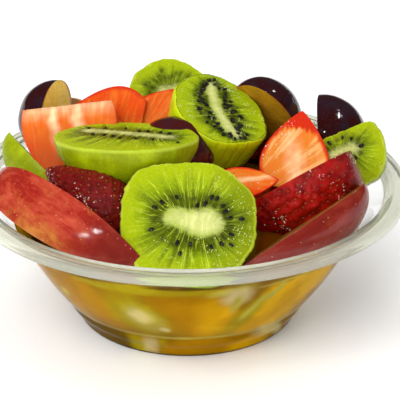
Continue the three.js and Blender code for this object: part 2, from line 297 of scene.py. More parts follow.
def volume(points, faces):
    """Six times the volume inside the faces, positive where they point out."""
    total = 0.0
    for size in (3, 4):
        corner = points[[f for f in faces if len(f) == size]]
        for k in range(1, size - 1):
            total += (corner[:, 0] * np.cross(corner[:, k], corner[:, k + 1])).sum()
    return total


def shown(name, data):
    """A new object in the scene."""
    thing = bpy.data.objects.new(name, data)
    bpy.context.scene.collection.objects.link(thing)
    return thing


def hold(mesh, **fields):
    """Keeps one number or three numbers a point on the mesh, for materials and nodes to read."""
    for key, values in fields.items():
        kind, part = ("FLOAT_VECTOR", "vector") if values.ndim == 2 else ("FLOAT", "value")
        attribute = mesh.attributes.new(key, kind, "POINT")
        attribute.data.foreach_set(part, values.astype(np.float32).ravel())


def finished(name, node, slot, points, faces, materials, indices=None, **fields):
    """A piece at the origin from points in mm, with its faces pointing out. It rides on the one
    body and stands for its node, and its fields are for its materials."""
    if volume(points, faces) < 0:
        faces = [f[::-1] for f in faces]
    mesh = bpy.data.meshes.new(name)
    mesh.from_pydata((points * MM).tolist(), [], faces)
    for material in materials:
        mesh.materials.append(material)
    if indices is not None:
        mesh.polygons.foreach_set("material_index", np.asarray(indices, np.int32))
    mesh.polygons.foreach_set("use_smooth", np.ones(len(mesh.polygons), bool))
    hold(mesh, **fields)
    mesh.validate()
    piece = shown(name, mesh)
    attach(piece, "root")
    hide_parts(node)
    return piece


# ------------------------------------------------------------------ materials


class Nodes:
    """A node tree under construction."""

    def __init__(self, tree):
        self.tree = tree

    def put(self, socket, value):
        """Gives a node's input a value or another node's output."""
        if isinstance(value, bpy.types.NodeSocket):
            self.tree.links.new(value, socket)
        elif hasattr(value, "__len__") and not isinstance(value, str):
            opaque = len(socket.default_value) == 4 and len(value) == 3
            socket.default_value = tuple(value) + ((1.0,) if opaque else ())
        else:
            socket.default_value = value

    def add(self, kind, inputs=(), **settings):
        """A new node with its own settings and its inputs."""
        node = self.tree.nodes.new(kind)
        for key, value in settings.items():
            setattr(node, key, value)
        for key, value in dict(inputs).items():
            self.put(node.inputs[key], value)
        return node


class Finish(Nodes):
    """A procedural material under construction, with its colour so far in shade."""

    def __init__(self, name, **shader):
        self.material = bpy.data.materials.get(name) or bpy.data.materials.new(name)
        self.material.use_nodes = True
        super().__init__(self.material.node_tree)
        self.tree.nodes.clear()
        named = {key.replace("_", " "): value for key, value in shader.items()}
        self.shader = self.add("ShaderNodeBsdfPrincipled", named)
        self.add("ShaderNodeOutputMaterial", {0: self.shader.outputs[0]})
        self.shade = None

    def field(self, name, output="Vector"):
        return self.add("ShaderNodeAttribute", attribute_name=name).outputs[output]

    def value(self, name):
        return self.field(name, "Fac")

    def tone(self):
        return self.add("ShaderNodeSeparateXYZ", {0: self.field("tone")}).outputs

    def place(self):
        return self.add("ShaderNodeTexCoord").outputs["Object"]

    def noise(self, vector, scale, detail=3.0, rough=0.55, distortion=0.0):
        inputs = dict(Vector=vector, Scale=scale, Detail=detail, Roughness=rough,
                      Distortion=distortion)
        return self.add("ShaderNodeTexNoise", inputs).outputs["Fac"]

    def cells(self, vector, scale):
        node = self.add("ShaderNodeTexVoronoi", dict(Vector=vector, Scale=scale))
        return node.outputs["Distance"]

    def sum(self, operation, a, b=0.0, clamp=False):
        node = self.add("ShaderNodeMath", {0: a, 1: b}, operation=operation, use_clamp=clamp)
        return node.outputs[0]

    def times(self, a, b):
        return self.sum("MULTIPLY", a, b)

    def swayed(self, value, cloud, share):
        """The value, moved up and down with a cloud."""
        return self.sum("ADD", value, self.times(self.sum("SUBTRACT", cloud, 0.5), share))

    def span(self, value, low, high, first=0.0, last=1.0):
        """Maps low..high smoothly to first..last."""
        inputs = {"Value": value, "From Min": low, "From Max": high, "To Min": first,
                  "To Max": last}
        return self.add("ShaderNodeMapRange", inputs, interpolation_type="SMOOTHSTEP").outputs[0]

    def mix(self, share, a, b, blend="MIX"):
        return self.add("ShaderNodeMix", {0: share, 6: a, 7: b}, data_type="RGBA",
                        blend_type=blend, clamp_factor=True).outputs[2]

    def over(self, share, shade):
        """Lays a shade over the colour so far."""
        self.shade = self.mix(share, self.shade, shade)

    def ramp(self, value, *stops):
        node = self.add("ShaderNodeValToRGB", {0: value})
        elements = node.color_ramp.elements
        while len(elements) < len(stops):
            elements.new(0.5)
        for element, (position, shade) in zip(elements, stops):
            element.position = position
            element.color = tuple(shade) + (1.0,)
        return node.outputs[0]

    def relief(self, height, distance, strength):
        """Bump of a height field, its distance in mm."""
        inputs = dict(Strength=strength, Distance=distance * MM, Height=height)
        bump = self.add("ShaderNodeBump", inputs)
        self.put(self.shader.inputs["Normal"], bump.outputs[0])

    def paint(self, rough=None):
        self.put(self.shader.inputs["Base Color"], self.shade)
        if rough is not None:
            self.put(self.shader.inputs["Roughness"], rough)
        return self.material


def darker(shade, share):
    """A share of a colour."""
    return tuple(c * share for c in shade)


def blended(first, second, share):
    """A colour between two others."""
    return tuple(a * (1 - share) + b * share for a, b in zip(first, second))


def glow(share, depth, *reach):
    """Light that spreads under the surface: its share, its depth in mm and its colour."""
    return dict(Subsurface_Weight=share, Subsurface_Scale=depth * MM, Subsurface_Radius=reach)


def kiwi_flesh(s):
    """Cut kiwi: pale core, dark zone with the seeds, pale rays, a lighter rim and painted shade
    towards one side.
    """
    f = Finish("kiwi cut flesh", IOR=1.36, Specular_IOR_Level=0.2, **glow(0.1, 1.5, 0.8, 1.0, 0.3))
    core, out, painted_right_shade = f.tone()
    streak, local = f.field("streak"), f.field("local")
    cloud = f.noise(local, 0.22)
    f.shade = f.ramp(f.swayed(out, cloud, 0.4), (0.0, blended(s.flesh, s.core, 0.25)),
                     (0.10, darker(s.flesh, 0.20)), (0.28, darker(s.flesh, 0.36)), (0.50, s.flesh),
                     (0.80, s.rim), (0.95, s.rim), (1.0, (0.50, 0.55, 0.045)))
    broad = f.noise(streak, 0.42, 2.0, 0.5)
    hair = f.noise(streak, 1.0, 2.0, 0.5)
    reach = f.times(f.span(out, 0.0, 0.08), f.span(out, 0.97, 0.5))
    f.over(f.times(f.span(broad, 0.50, 0.32), f.times(reach, 0.62)), s.deep)
    ray = f.span(f.sum("ABSOLUTE", f.sum("SUBTRACT", hair, 0.52)), 0.035, 0.0)
    ray = f.times(ray, f.span(broad, 0.3, 0.55, 0.35, 1.0))
    f.over(f.times(ray, f.times(reach, 0.85)), (0.60, 0.70, 0.05))
    fine = f.noise(local, 1.0, 4.0, 0.62)
    f.over(f.times(f.span(fine, 0.5, 0.72, 0.0, 0.45), f.span(out, 0.1, 0.6, 0.25, 1.0)),
           (0.58, 0.66, 0.012))
    f.over(f.span(fine, 0.44, 0.28, 0.0, 0.3), darker(s.flesh, 0.5))
    pale = f.noise(streak, 0.5)
    f.over(core, f.ramp(pale, (0.3, darker(s.core, 0.86)), (0.7, (0.78, 0.80, 0.32))))
    # Painted shade: the face is multiplied darker towards its right side.
    f.over(painted_right_shade, f.mix(1.0, f.shade, (0.42, 0.42, 0.5), "MULTIPLY"))
    f.over(f.value("shade"), (0.020, 0.032, 0.004))
    pulp = f.noise(local, 1.7, 4.0, 0.65)
    f.relief(f.sum("ADD", pulp, f.times(hair, 0.5)), 0.7, 0.9)
    return f.paint(f.span(pulp, 0.35, 0.65, 0.30, 0.10))


def kiwi_side(s):
    """The smooth outside of peeled kiwi, with faint lines along it and, where asked, painted light.
    """
    f = Finish("kiwi peeled side", IOR=1.36, Specular_IOR_Level=0.3, **glow(0.12, 3, 0.8, 1.0, 0.2))
    local, depth = f.field("local"), f.tone()[2]
    cloud = f.noise(local, 0.13, 4.0)
    f.shade = f.ramp(cloud, (0.3, darker(s.side, 0.72)), (0.55, s.side), (0.75, s.rim))
    f.over(f.span(f.noise(f.field("streak"), 0.9, 2.0), 0.5, 0.72, 0.0, 0.2), (0.45, 0.54, 0.02))
    f.over(f.span(depth, 0.08, 0.0, 0.0, 0.6), (0.50, 0.60, 0.05))
    f.over(f.span(depth, 0.35, 1.0, 0.0, 0.7), (0.24, 0.44, 0.001))
    # Painted light: where the shade field is set, the side is painted a lighter green.
    f.over(f.value("shade"), f.mix(cloud, (0.42, 0.56, 0.003), (0.62, 0.72, 0.006)))
    grain = f.noise(local, 1.3)
    f.relief(grain, 0.25, 0.4)
    return f.paint(f.span(grain, 0.3, 0.7, 0.34, 0.2))


def small_body(name, dull, bright, grain, roughness, **shader):
    """A seed, pip or bead of juice, a little uneven in its colour; the beads are pale, as painted
    glints.
    """
    f = Finish(name, Roughness=roughness, **shader)
    f.shade = f.mix(f.noise(f.place(), grain, 2.0), dull, bright)
    return f.paint()


def seed_finish(name, shade):
    """The finish of seeds and pips."""
    return small_body(name, darker(shade, 0.6), darker(shade, 1.4), 900.0, 0.16)


def strawberry_flesh(s):
    """Cut strawberry: fibres that fan out over the flesh, cream stripes and a red rim."""
    f = Finish("strawberry cut flesh", IOR=1.36, Specular_IOR_Level=0.22,
               **glow(0.12, 3, 1.0, 0.3, 0.12))
    out, low, ripe = f.tone()
    local, strength = f.field("local"), f.value("fibre")
    cloud = f.noise(local, 0.16)
    f.shade = f.mix(f.sum("ADD", ripe, f.span(cloud, 0.35, 0.65, -0.15, 0.15), clamp=True),
                    s.peach, s.flesh)
    fibres = f.noise(f.field("streak"), 0.72, 4.0, 0.55)
    inner = f.times(f.span(out, 1.0, 0.8), strength)
    f.over(f.times(f.span(fibres, 0.46, 0.70), inner), f.mix(ripe, s.pale, (0.78, 0.20, 0.012)))
    f.over(f.times(f.span(fibres, 0.47, 0.32), f.times(strength, 0.7)),
           f.mix(ripe, (0.80, 0.16, 0.02), (0.74, 0.035, 0.002)))
    f.over(f.times(f.value("shade"), f.span(fibres, 0.3, 0.7, 0.6, 1.0)), (0.90, 0.66, 0.36))
    # Darker red-orange towards the low end: partly the berry's own redder flesh, partly painted
    # shade.
    f.over(low, f.mix(cloud, (0.34, 0.05, 0.006), (0.60, 0.10, 0.012)))
    edge = f.span(f.swayed(out, cloud, 0.2), 0.84, 0.98)
    f.over(f.times(edge, f.span(strength, 0.3, 0.5, 0.4, 1.0)), s.rim)
    pulp = f.noise(local, 1.2, 4.0, 0.6)
    f.over(f.span(pulp, 0.6, 0.75, 0.0, 0.14), (0.85, 0.36, 0.03))
    f.relief(f.sum("ADD", pulp, f.times(fibres, 0.9)), 0.5, 0.7)
    return f.paint(f.span(pulp, 0.3, 0.7, 0.32, 0.12))


def strawberry_skin(s):
    """Glossy red skin, darker in patches, with painted shade in the dimples round the pips."""
    f = Finish("strawberry skin", IOR=1.40, Specular_IOR_Level=0.45,
               **glow(0.06, 2, 1.0, 0.15, 0.1))
    local, dark = f.field("local"), f.tone()[1]
    cloud = f.noise(local, 0.2, 4.0)
    f.shade = f.ramp(cloud, (0.32, darker(s.skin, 0.45)), (0.5, s.skin),
                     (0.68, (0.46, 0.010, 0.006)))
    f.over(dark, f.mix(cloud, darker(s.maroon, 0.6), darker(s.maroon, 1.8)))
    # Painted shade in the dimples round the pips.
    f.over(f.times(f.value("shade"), 0.34), darker(s.skin, 0.3))
    f.over(f.span(f.noise(local, 0.9, 3.0, 0.6), 0.52, 0.7, 0.0, 0.3), (0.50, 0.012, 0.006))
    grain = f.noise(local, 1.1)
    f.relief(grain, 0.6, 0.8)
    return f.paint(f.span(grain, 0.3, 0.7, 0.13, 0.05))


def plum_skin(s):
    """Nearly black skin with dark red where the light comes through."""
    f = Finish("plum skin", IOR=1.42)
    local, blush = f.field("local"), f.tone()[1]
    cloud = f.noise(local, 0.10, 4.0)
    f.shade = f.ramp(cloud, (0.36, s.plum_skin), (0.60, darker(s.plum_blush, 0.22)),
                     (0.75, darker(s.plum_blush, 0.5)))
    f.over(blush, f.mix(cloud, darker(s.plum_blush, 0.7), darker(s.plum_blush, 1.15)))
    bloom = f.noise(local, 0.55, 5.0, 0.7)
    f.over(f.span(bloom, 0.55, 0.8, 0.0, 0.25), (0.055, 0.035, 0.055))
    f.over(f.span(f.cells(local, 0.7), 0.16, 0.08, 0.0, 0.3), (0.16, 0.07, 0.07))
    f.relief(f.noise(local, 0.9), 0.12, 0.3)
    return f.paint(f.span(bloom, 0.4, 0.8, 0.08, 0.16))


def stone_flesh(name, middle, rind, edge):
    """Cut plum or nectarine: amber flesh, redder towards the skin, with fibres from the stone."""
    f = Finish(name, IOR=1.36, **glow(0.12, 3, 1.0, 0.5, 0.1))
    local, out = f.field("local"), f.tone()[0]
    cloud = f.noise(local, 0.12, 4.0)
    f.shade = f.ramp(cloud, (0.3, darker(middle, 0.7)), (0.7, darker(middle, 1.15)))
    # Painted light: where the shade field is set, the cut face is painted a lighter amber.
    f.over(f.value("shade"), f.mix(cloud, (1.0, 0.56, 0.02), (1.0, 0.80, 0.09)))
    f.over(f.span(out, 0.86, 0.95), rind)
    f.over(f.span(out, 0.95, 0.995), edge)
    fibres = f.noise(f.field("streak"), 0.8, 2.0)
    f.over(f.span(fibres, 0.52, 0.7, 0.0, 0.35), darker(middle, 1.3))
    pulp = f.noise(local, 1.5)
    f.relief(pulp, 0.35, 0.4)
    return f.paint(f.span(pulp, 0.3, 0.7, 0.42, 0.24))


def nectarine_skin(s):
    """Red skin streaked with rose and gold along its length, with small pale dots."""
    f = Finish("nectarine skin", IOR=1.40)
    local, depth = f.field("local"), f.tone()[1]
    red, rose = s.nectarine_red, s.nectarine_rose
    along = f.add("ShaderNodeMapping", dict(Vector=local, Scale=(1.0, 0.3, 1.0))).outputs[0]
    bands = f.noise(along, 0.16, 6.0, 0.62, 0.3)
    f.shade = f.ramp(bands, (0.30, darker(red, 0.85)), (0.50, red),
                     (0.70, blended(red, rose, 0.95)))
    patch = f.noise(local, 0.14, 6.0, 0.6, 0.4)
    gold = f.times(f.value("shade"), f.span(patch, 0.34, 0.60))
    gold = f.sum("ADD", f.span(patch, 0.52, 0.74, 0.0, 0.4), gold, clamp=True)
    f.over(gold, s.nectarine_gold)
    veins = f.noise(along, 1.0, 6.0, 0.72)
    f.over(f.span(veins, 0.50, 0.72, 0.0, 0.55), rose)
    f.over(f.span(veins, 0.46, 0.30, 0.0, 0.4), darker(red, 0.7))
    # Darker red where blush is given; towards the left wedge's end this darkening is painted shade.
    f.over(f.times(depth, 0.9), f.mix(bands, (0.075, 0.005, 0.004), (0.23, 0.021, 0.015)))
    f.over(f.span(f.cells(local, 0.42), 0.13, 0.06, 0.0, 0.6), (0.66, 0.30, 0.17))
    f.relief(f.noise(local, 1.2, 4.0), 0.14, 0.35)
    return f.paint(f.span(patch, 0.3, 0.7, 0.15, 0.09))


def bed_fruit():
    """Soft yellow fruit in amber juice; the patches' colours come with the mesh."""
    f = Finish("yellow fruit in juice", IOR=1.36, Specular_IOR_Level=0.0,
               **glow(0.06, 3, 1.0, 0.6, 0.05))
    local = f.field("local")
    f.shade = f.field("hue")
    fibre = f.noise(f.field("streak"), 0.35, 4.0, 0.6)
    f.over(f.span(fibre, 0.50, 0.74, 0.0, 0.7), f.mix(1.0, f.shade, (1.25, 1.22, 1.2), "MULTIPLY"))
    cloud = f.noise(local, 0.07, 4.0)
    f.over(f.span(cloud, 0.6, 0.4), f.mix(1.0, f.shade, (0.80, 0.76, 0.9), "MULTIPLY"))
    f.relief(f.noise(local, 0.8), 0.2, 0.3)
    return f.paint(f.span(cloud, 0.3, 0.7, 0.30, 0.40))


def clear_plastic(name, tint, clearness, roughness, density):
    """Thin clear plastic, faintly uneven as pressed sheet is."""
    f = Finish(name, Roughness=roughness, IOR=density, Transmission_Weight=clearness)
    f.relief(f.noise(f.place(), 90.0), 0.12, 0.2)
    f.shade = tint
    return f.paint()


def floor_finish():
    """A matt floor, faintly cloudy."""
    f = Finish("pale floor", Roughness=0.9, Specular_IOR_Level=0.1)
    f.shade = f.mix(f.noise(f.place(), 3.0, 2.0), (0.97, 0.97, 0.97), (0.98, 0.98, 0.98))
    return f.paint()


# ------------------------------------------------------------------ kiwi

# A flat is a knife's straight cut in a slice's edge: its direction in degrees and its distance.
# A core is an oval: its middle, the half distance between its focal points, its turn, its bend,
# its half width and how much wider it is at its far end. Pith is a drawn outline in its place,
# and spots are seeds at given places instead of drawn ones.
KIWIS = [
    dict(node="kiwi_slice_front", at=(0.5, -50, 61.6), turn=(0, 45, 0), thick=9,
         flats=[(0, 25), (50, 24.4), (93, 23), (140, 28), (177, 25.3), (216, 26.5), (262, 25),
                (318, 25.5)],
         core=(1.9, -0.6, 8.6, -7, 0.5, 3.5, 0.30),
         pith=[(-9.4, 0.6), (-6.6, 3.9), (-3.4, 4.3), (-0.4, 3.0), (3.2, 3.4), (7.2, 4.1),
               (10.9, 2.4), (12.7, -0.7), (12.2, -3.5), (9.3, -5.0), (5.7, -5.7), (2.1, -5.0),
               (-1.2, -3.4), (-4.9, -1.6), (-8.2, -0.9)],
         ring=5.4, seeds=10, painted_right_shade=0.75, around=460, rows=70, nick=0.32,
         spots=[(-9.7, 7.1), (-4.4, 9.0), (3.3, 5.7), (6.1, 6.5), (8.5, 8.9), (10.4, 8.4),
                (13.6, 3.4), (15.4, 1.0), (19.4, 0.4), (15.6, -5.6), (12.0, -9.2), (15.5, -9.6),
                (0.6, -9.3), (-4.2, -8.7), (-13.6, -3.6), (-3.2, -12.9), (8.2, -10.4),
                (-12.4, 5.0), (12.6, 5.6)]),
    dict(node="kiwi_slab_centre", at=(13.6, 17, 78.4), turn=(50, 65, 0), thick=16, taper=0.9,
         flats=[(0, 17.2), (32, 20), (60, 21.3), (95, 19.8), (135, 19.6), (178, 20.5), (215, 22.5),
                (250, 20), (284, 21.5), (322, 17.6)],
         core=(-0.3, -0.8, 15.2, 62, 2.3, 2.1, -0.1), ring=4.4, seeds=58, loose=0.62, buried=0.85,
         painted_side_light=1.0, around=360, rows=52, nick=0.3),
    dict(node="kiwi_slice_right", at=(61.8, 4, 64.2), turn=(-20, 32, 0), thick=8,
         flats=[(352, 15.5), (25, 15.5), (57, 16.5), (120, 9.5), (190, 15), (240, 14), (290, 13.5),
                (318, 15.2)],
         core=(-2.2, 0.6, 5.2, 30, 0.3, 1.8, 0.1), ring=3.2, seeds=20, soft=0.22, sparse=2,
         around=280, rows=40, nick=0.2),
    dict(node="kiwi_slice_rear", at=(-7.1, 36, 75.4), turn=(0, 40, 0), thick=8, flats=(16.3, 9, 5),
         core=(0.2, 2.6, 2.6, 10, 0, 2.0, 0.0), ring=5.0, seeds=22, soft=0.2, buried=0.7, sparse=30,
         around=280, rows=40, nick=0.15),
    dict(node="kiwi_slice_back", at=(-10, 56, 60), turn=(186, 50, 20), thick=8, flats=(21, 8, 30),
         core=(0.4, 0.2, 5.0, 10, 0, 2.8, 0.1), ring=5.0, seeds=30, around=300, rows=44, nick=0.25),
]
KIWI = dict(taper=0.94, loose=0.38, buried=0.6, painted_side_light=0.0, soft=0, painted_right_shade=0, sparse=1, pith=None,
            spots=None)
HALF = dict(node="kiwi_half_left", at=(-23, -13, 79.3), turn=(0, 98.5, 0), radii=(27.6, 21.5, 19.8),
            flats=[(12, 0.985), (40, 1.0), (75, 0.985), (108, 1.0), (150, 0.99), (186, 0.985),
                   (215, 1.0), (250, 0.985), (285, 0.995), (325, 0.985)],
            core=(1.0, 3.6, 17.0, -19, 0.6, 2.8, 0.0), ring=3.6, seeds=30, around=420,
            spots=[(-14.5, 12.5), (-8.0, 12.4), (-0.3, 12.0), (4.8, 7.6), (8.2, 7.4), (13.0, 5.4),
                   (16.4, 4.0), (-12.6, 2.8), (-8.2, 2.2), (-4.9, 0.2), (-2.2, -2.2), (3.6, -3.2),
                   (10.3, -4.7), (19.6, -9.4)])
SEED_LIFT = 0.06
SEED_MARGIN = 2.2
MARK_WIDTH = 1.15
SEED_DEPTH = 0.9
SEED_SHADE = (0.012, 0.009, 0.008)
GLINT_BEAD_FINISH = dict(grain=300.0, roughness=0.06, IOR=1.45)
# Pale beads of juice, painted glints, on the first three slices: their number and the side they
# lean to.
KIWI_GLINT_BEADS = [(270, (0.035, 0, -0.03)), (260, (0, 0, 0)), (60, (0, 0, 0))]


def even_flats(distance, count, start):
    """Flats all round a slice, a little uneven."""
    return [(start + 360 * i / count + 6 * math.sin(2.4 * i + start),
             distance * (1 + 0.03 * math.cos(3.1 * i + start))) for i in range(count)]


def knife_edge(flats, angles, sharpness=12):
    """Radius of a round cut by a knife's flats."""
    total = np.zeros_like(angles)
    for degrees, distance in flats:
        reach = np.cos(angles - math.radians(degrees)) / distance
        total += np.maximum(reach, 0) ** sharpness
    return total ** (-1 / sharpness)


def core_bend(u, core):
    """How far the core's middle line is bent aside at each place along it."""
    return core[4] * (1 - (u / core[2]) ** 2).clip(-1, 1)


def in_core(plane, core):
    """The plane's points in the core's own frame."""
    u, v = rotated(plane[:, 0] - core[0], plane[:, 1] - core[1], math.radians(core[3]))
    return u, v - core_bend(u, core)


def from_in_core(u, v, core):
    """Back from the core's frame to the plane."""
    x, y = rotated(u, v + core_bend(u, core), -math.radians(core[3]))
    return np.column_stack([core[0] + x, core[1] + y])


def outside(plane, outline):
    """Distance from a closed outline, negative inside it."""
    corners = np.array(outline, float)
    nearest = np.full(len(plane), 1e9)
    crossings = np.zeros(len(plane), int)
    for a, b in zip(corners, np.roll(corners, -1, axis=0)):
        side = b - a
        share = (((plane - a) @ side) / (side @ side)).clip(0, 1)
        nearest = np.minimum(nearest, np.linalg.norm(plane - a - share[:, None] * side, axis=1))
        spans = (a[1] <= plane[:, 1]) != (b[1] <= plane[:, 1])
        height = np.where(spans, (plane[:, 1] - a[1]) / (side[1] if side[1] else 1.0), 0.0)
        crossings += spans & (plane[:, 0] < a[0] + height * side[0])
    return np.where(crossings % 2 == 1, -nearest, nearest)


def kiwi_fields(points, edge, core, depth, pith_outline=None):
    """Tone (core, place from core to rim, depth) and the coordinate that the rays follow. The
    rays are the curves that fan out square to ovals round the core."""
    plane = points[:, :2]
    u, v = in_core(plane, core)
    focus, width, skew = core[2], core[5], core[6]
    reach = focus * 0.93
    along = np.clip(u, -reach, reach)
    distance = np.hypot(u - along, v)
    waist = width * (0.80 + 0.30 * (along / reach) ** 2) * (1 + skew * along / reach)
    waist = waist * (1 + 0.16 * waves(plane, 6, 4))
    rest = np.maximum(edge - np.hypot(plane[:, 0], plane[:, 1]), 0.0)
    beyond = outside(plane, pith_outline) if pith_outline else distance - waist
    outward = np.maximum(beyond, 0)
    place = outward / np.maximum(outward + rest, 1e-3)
    pith = 1 - smooth(-2.3, 1.7, beyond + 0.45 * waves(plane, 1.6, 6))
    if pith_outline:
        pith = pith * (0.62 + 0.38 * smooth(-0.9, 0.1, u / focus))
    fan = np.arccosh((u + 1j * v) / focus + 1e-9)
    streak = np.column_stack([turned(fan.imag), np.abs(fan.real) * 0.06]) * 13
    return np.column_stack([pith, place, depth]), streak


def outward_at(plane, core):
    """The direction of the rays at each point."""
    u, v = in_core(plane, core)
    fan = np.arccosh((u + 1j * v) / core[2] + 1e-9)
    further = core[2] * np.cosh(fan + 0.03 * np.sign(fan.real))
    return unit(from_in_core(further.real, further.imag, core) - plane)


def seed_spots(core, ring, count, seed, fits, loose=0.38):
    """Places for seeds on ovals round the core."""
    draw = np.random.default_rng(seed)
    focus, width = core[2], core[5]
    turn = np.linspace(0, TAU, 721)
    oval = focus * np.cosh(math.asinh((width + ring) / focus) + 1j * turn)
    walked = np.append(0, np.cumsum(np.abs(np.diff(oval))))
    spots = []
    for i in range(count):
        where = np.interp((i + draw.uniform(-0.35, 0.35)) / count % 1.0 * walked[-1], walked, turn)
        out = math.asinh((width + ring * (1 + draw.uniform(-0.9, 1.0) * loose)) / focus)
        p = focus * np.cosh(out + 1j * where)
        q = from_in_core(np.array([p.real]), np.array([p.imag]), core)[0]
        if draw.uniform() >= 0.08 and fits(math.atan2(q[1], q[0]), math.hypot(*q)):
            spots.append(q)
    return np.array(spots)


def near(points, spots, width):
    """How close each point is to the nearest spot, 1 on it and falling off with the width."""
    close = np.zeros(len(points))
    for spot in spots:
        close = np.maximum(close, np.exp(-((points - spot) ** 2).sum(1) / width**2))
    return close


def seed_marks(points, spots, aims, buried, widths, shares):
    """How close each point is to a seed, and how dark it is there: under the seeds, in their
    shade and where others lie buried."""
    places = (spots, spots + aims * 0.5, buried)
    marks = [near(points[:, :2], at, width) for at, width in zip(places, widths)]
    return marks[0], np.max([mark * share for mark, share in zip(marks, shares)], axis=0)


class Seeds:
    """Places for seeds or pips, gathered from all pieces and made in one go."""

    def __init__(self):
        self.at, self.up, self.along = [], [], []

    def take(self, look, points, normals, along):
        basis = facing(*look["turn"])
        self.at.append(placed(points, look))
        self.up.append(normals @ basis.T)
        self.along.append(along @ basis.T)

    def lay(self, look, spots, aims, height, side=1.0):
        """Seeds that lie on a cut face and point along the rays."""
        normals = np.tile([0.0, 0.0, side], (len(spots), 1))
        self.take(look, level(spots, height), normals, level(aims, 0.0))


def in_place(look, slot, points, faces, materials, indices, **fields):
    """A piece of fruit, laid where its row says and kept inside the bowl."""
    world = kept_inside(placed(points, look))
    return finished(look["node"] + "_fruit", look["node"], slot, world, faces, materials, indices,
                    **fields)


def kiwi_slice(look, settings, seeds, materials):
    """A round slice with its front face at local z = 0, cut by a knife's flats."""
    flats = even_flats(*look["flats"]) if isinstance(look["flats"], tuple) else look["flats"]
    thick, taper, core, around = (look[key] for key in ("thick", "taper", "core", "around"))
    angles = np.linspace(0, TAU, around, endpoint=False)
    circle = turned(angles)
    edge = knife_edge(flats, angles)
    round_edge = circle * edge.mean()
    nicks = waves(round_edge, 6, len(flats)) + 0.5 * waves(round_edge, 2.2, 7)
    edge = edge + look["nick"] * nicks
    back = taper - 0.03
    rows = [(share * 0.985, 0.0) for share in np.linspace(0.012, 0.965, look["rows"])]
    face_rows = len(rows)
    rows += [(0.973, -0.06), (0.985, -0.3), (0.993, -0.8), (1.0, -0.14 * thick)]
    rows += [(1 + (taper - 1) * t, -thick * (0.14 + 0.76 * t)) for t in np.linspace(0.12, 1, 9)]
    rows += [(taper - 0.006, -0.95 * thick), (back, -0.995 * thick)]
    wall_rows = len(rows)
    rows += [(share * back, -thick) for share in np.linspace(0.95, 0.02, look["rows"] // 2)]
    rings = [level(circle * (edge * scale)[:, None], z) for scale, z in rows]
    points, faces, row_of, _ = closed_rings(rings)
    on_wall = [face_rows <= i < wall_rows for i in range(len(rows))]
    depth = per_point([-0.4 * z / thick * on for (_, z), on in zip(rows, on_wall)], around)
    on_face = depth == 0
    at_edge = knife_edge(flats, np.arctan2(points[:, 1], points[:, 0]))
    tone, streak = kiwi_fields(points, at_edge, core, depth, look["pith"])

    def fits(angle, radius):
        return radius < knife_edge(flats, np.array([angle]))[0] - SEED_MARGIN

    seed = settings.seed + len(flats)
    if look["spots"]:
        spots = np.array(look["spots"], float)
    else:
        spots = seed_spots(core, look["ring"], look["seeds"], seed, fits, look["loose"])
    buried = seed_spots(core, look["ring"] * 1.08, look["seeds"] + 8, seed + 40, fits)
    aims = outward_at(spots, core)
    close, dark = seed_marks(points, spots, aims, buried, (MARK_WIDTH, 2.0, 1.3),
                             (0.75, 0.45, look["buried"]))
    # On the side the shade field holds painted light, which lightens the slab's side.
    shade = np.where(on_face, dark, look["painted_side_light"])
    soft = look["soft"]
    tone[:, 1] = tone[:, 1] * (1 - soft) + soft
    # On the face the third tone is painted shade, darker towards the slice's right side.
    tone[:, 2] = np.where(on_face, look["painted_right_shade"] * smooth(4, 24, points[:, 0]), tone[:, 2])
    band = smooth(0.0, 0.1, tone[:, 1]) * (1 - smooth(0.6, 0.9, tone[:, 1]))
    lift = 0.16 * waves(streak, 1.4, 3) * band
    lift += 0.10 * waves(points, 2.2, 8) + 0.12 * waves(points, 6.0, 9)
    lift += 0.35 * tone[:, 0] - 0.35 * close
    up = np.where(points[:, 2] < -thick / 2, -1.0, 1.0)
    side = np.where(on_face, 0.0, 0.14 * waves(points, 6.0, 12) + 0.05 * waves(points, 1.8, 13))
    moved = points + unit(points * [1, 1, 0]) * side[:, None]
    moved[:, 2] += np.where(on_face, lift * up, 0.0)
    indices = (row_of >= face_rows) & (row_of < wall_rows - 1)
    for height, sign, scale, skip in ((SEED_LIFT, 1.0, 1.0, look["sparse"]),
                                      (-thick - SEED_LIFT, -1.0, back, 2)):
        seeds.lay(look, spots[::skip] * scale, aims[::skip], height, sign)
    return in_place(look, "kiwi", moved, faces, materials, indices, tone=tone, streak=streak,
                    local=points + len(flats) * 9.0, shade=shade)


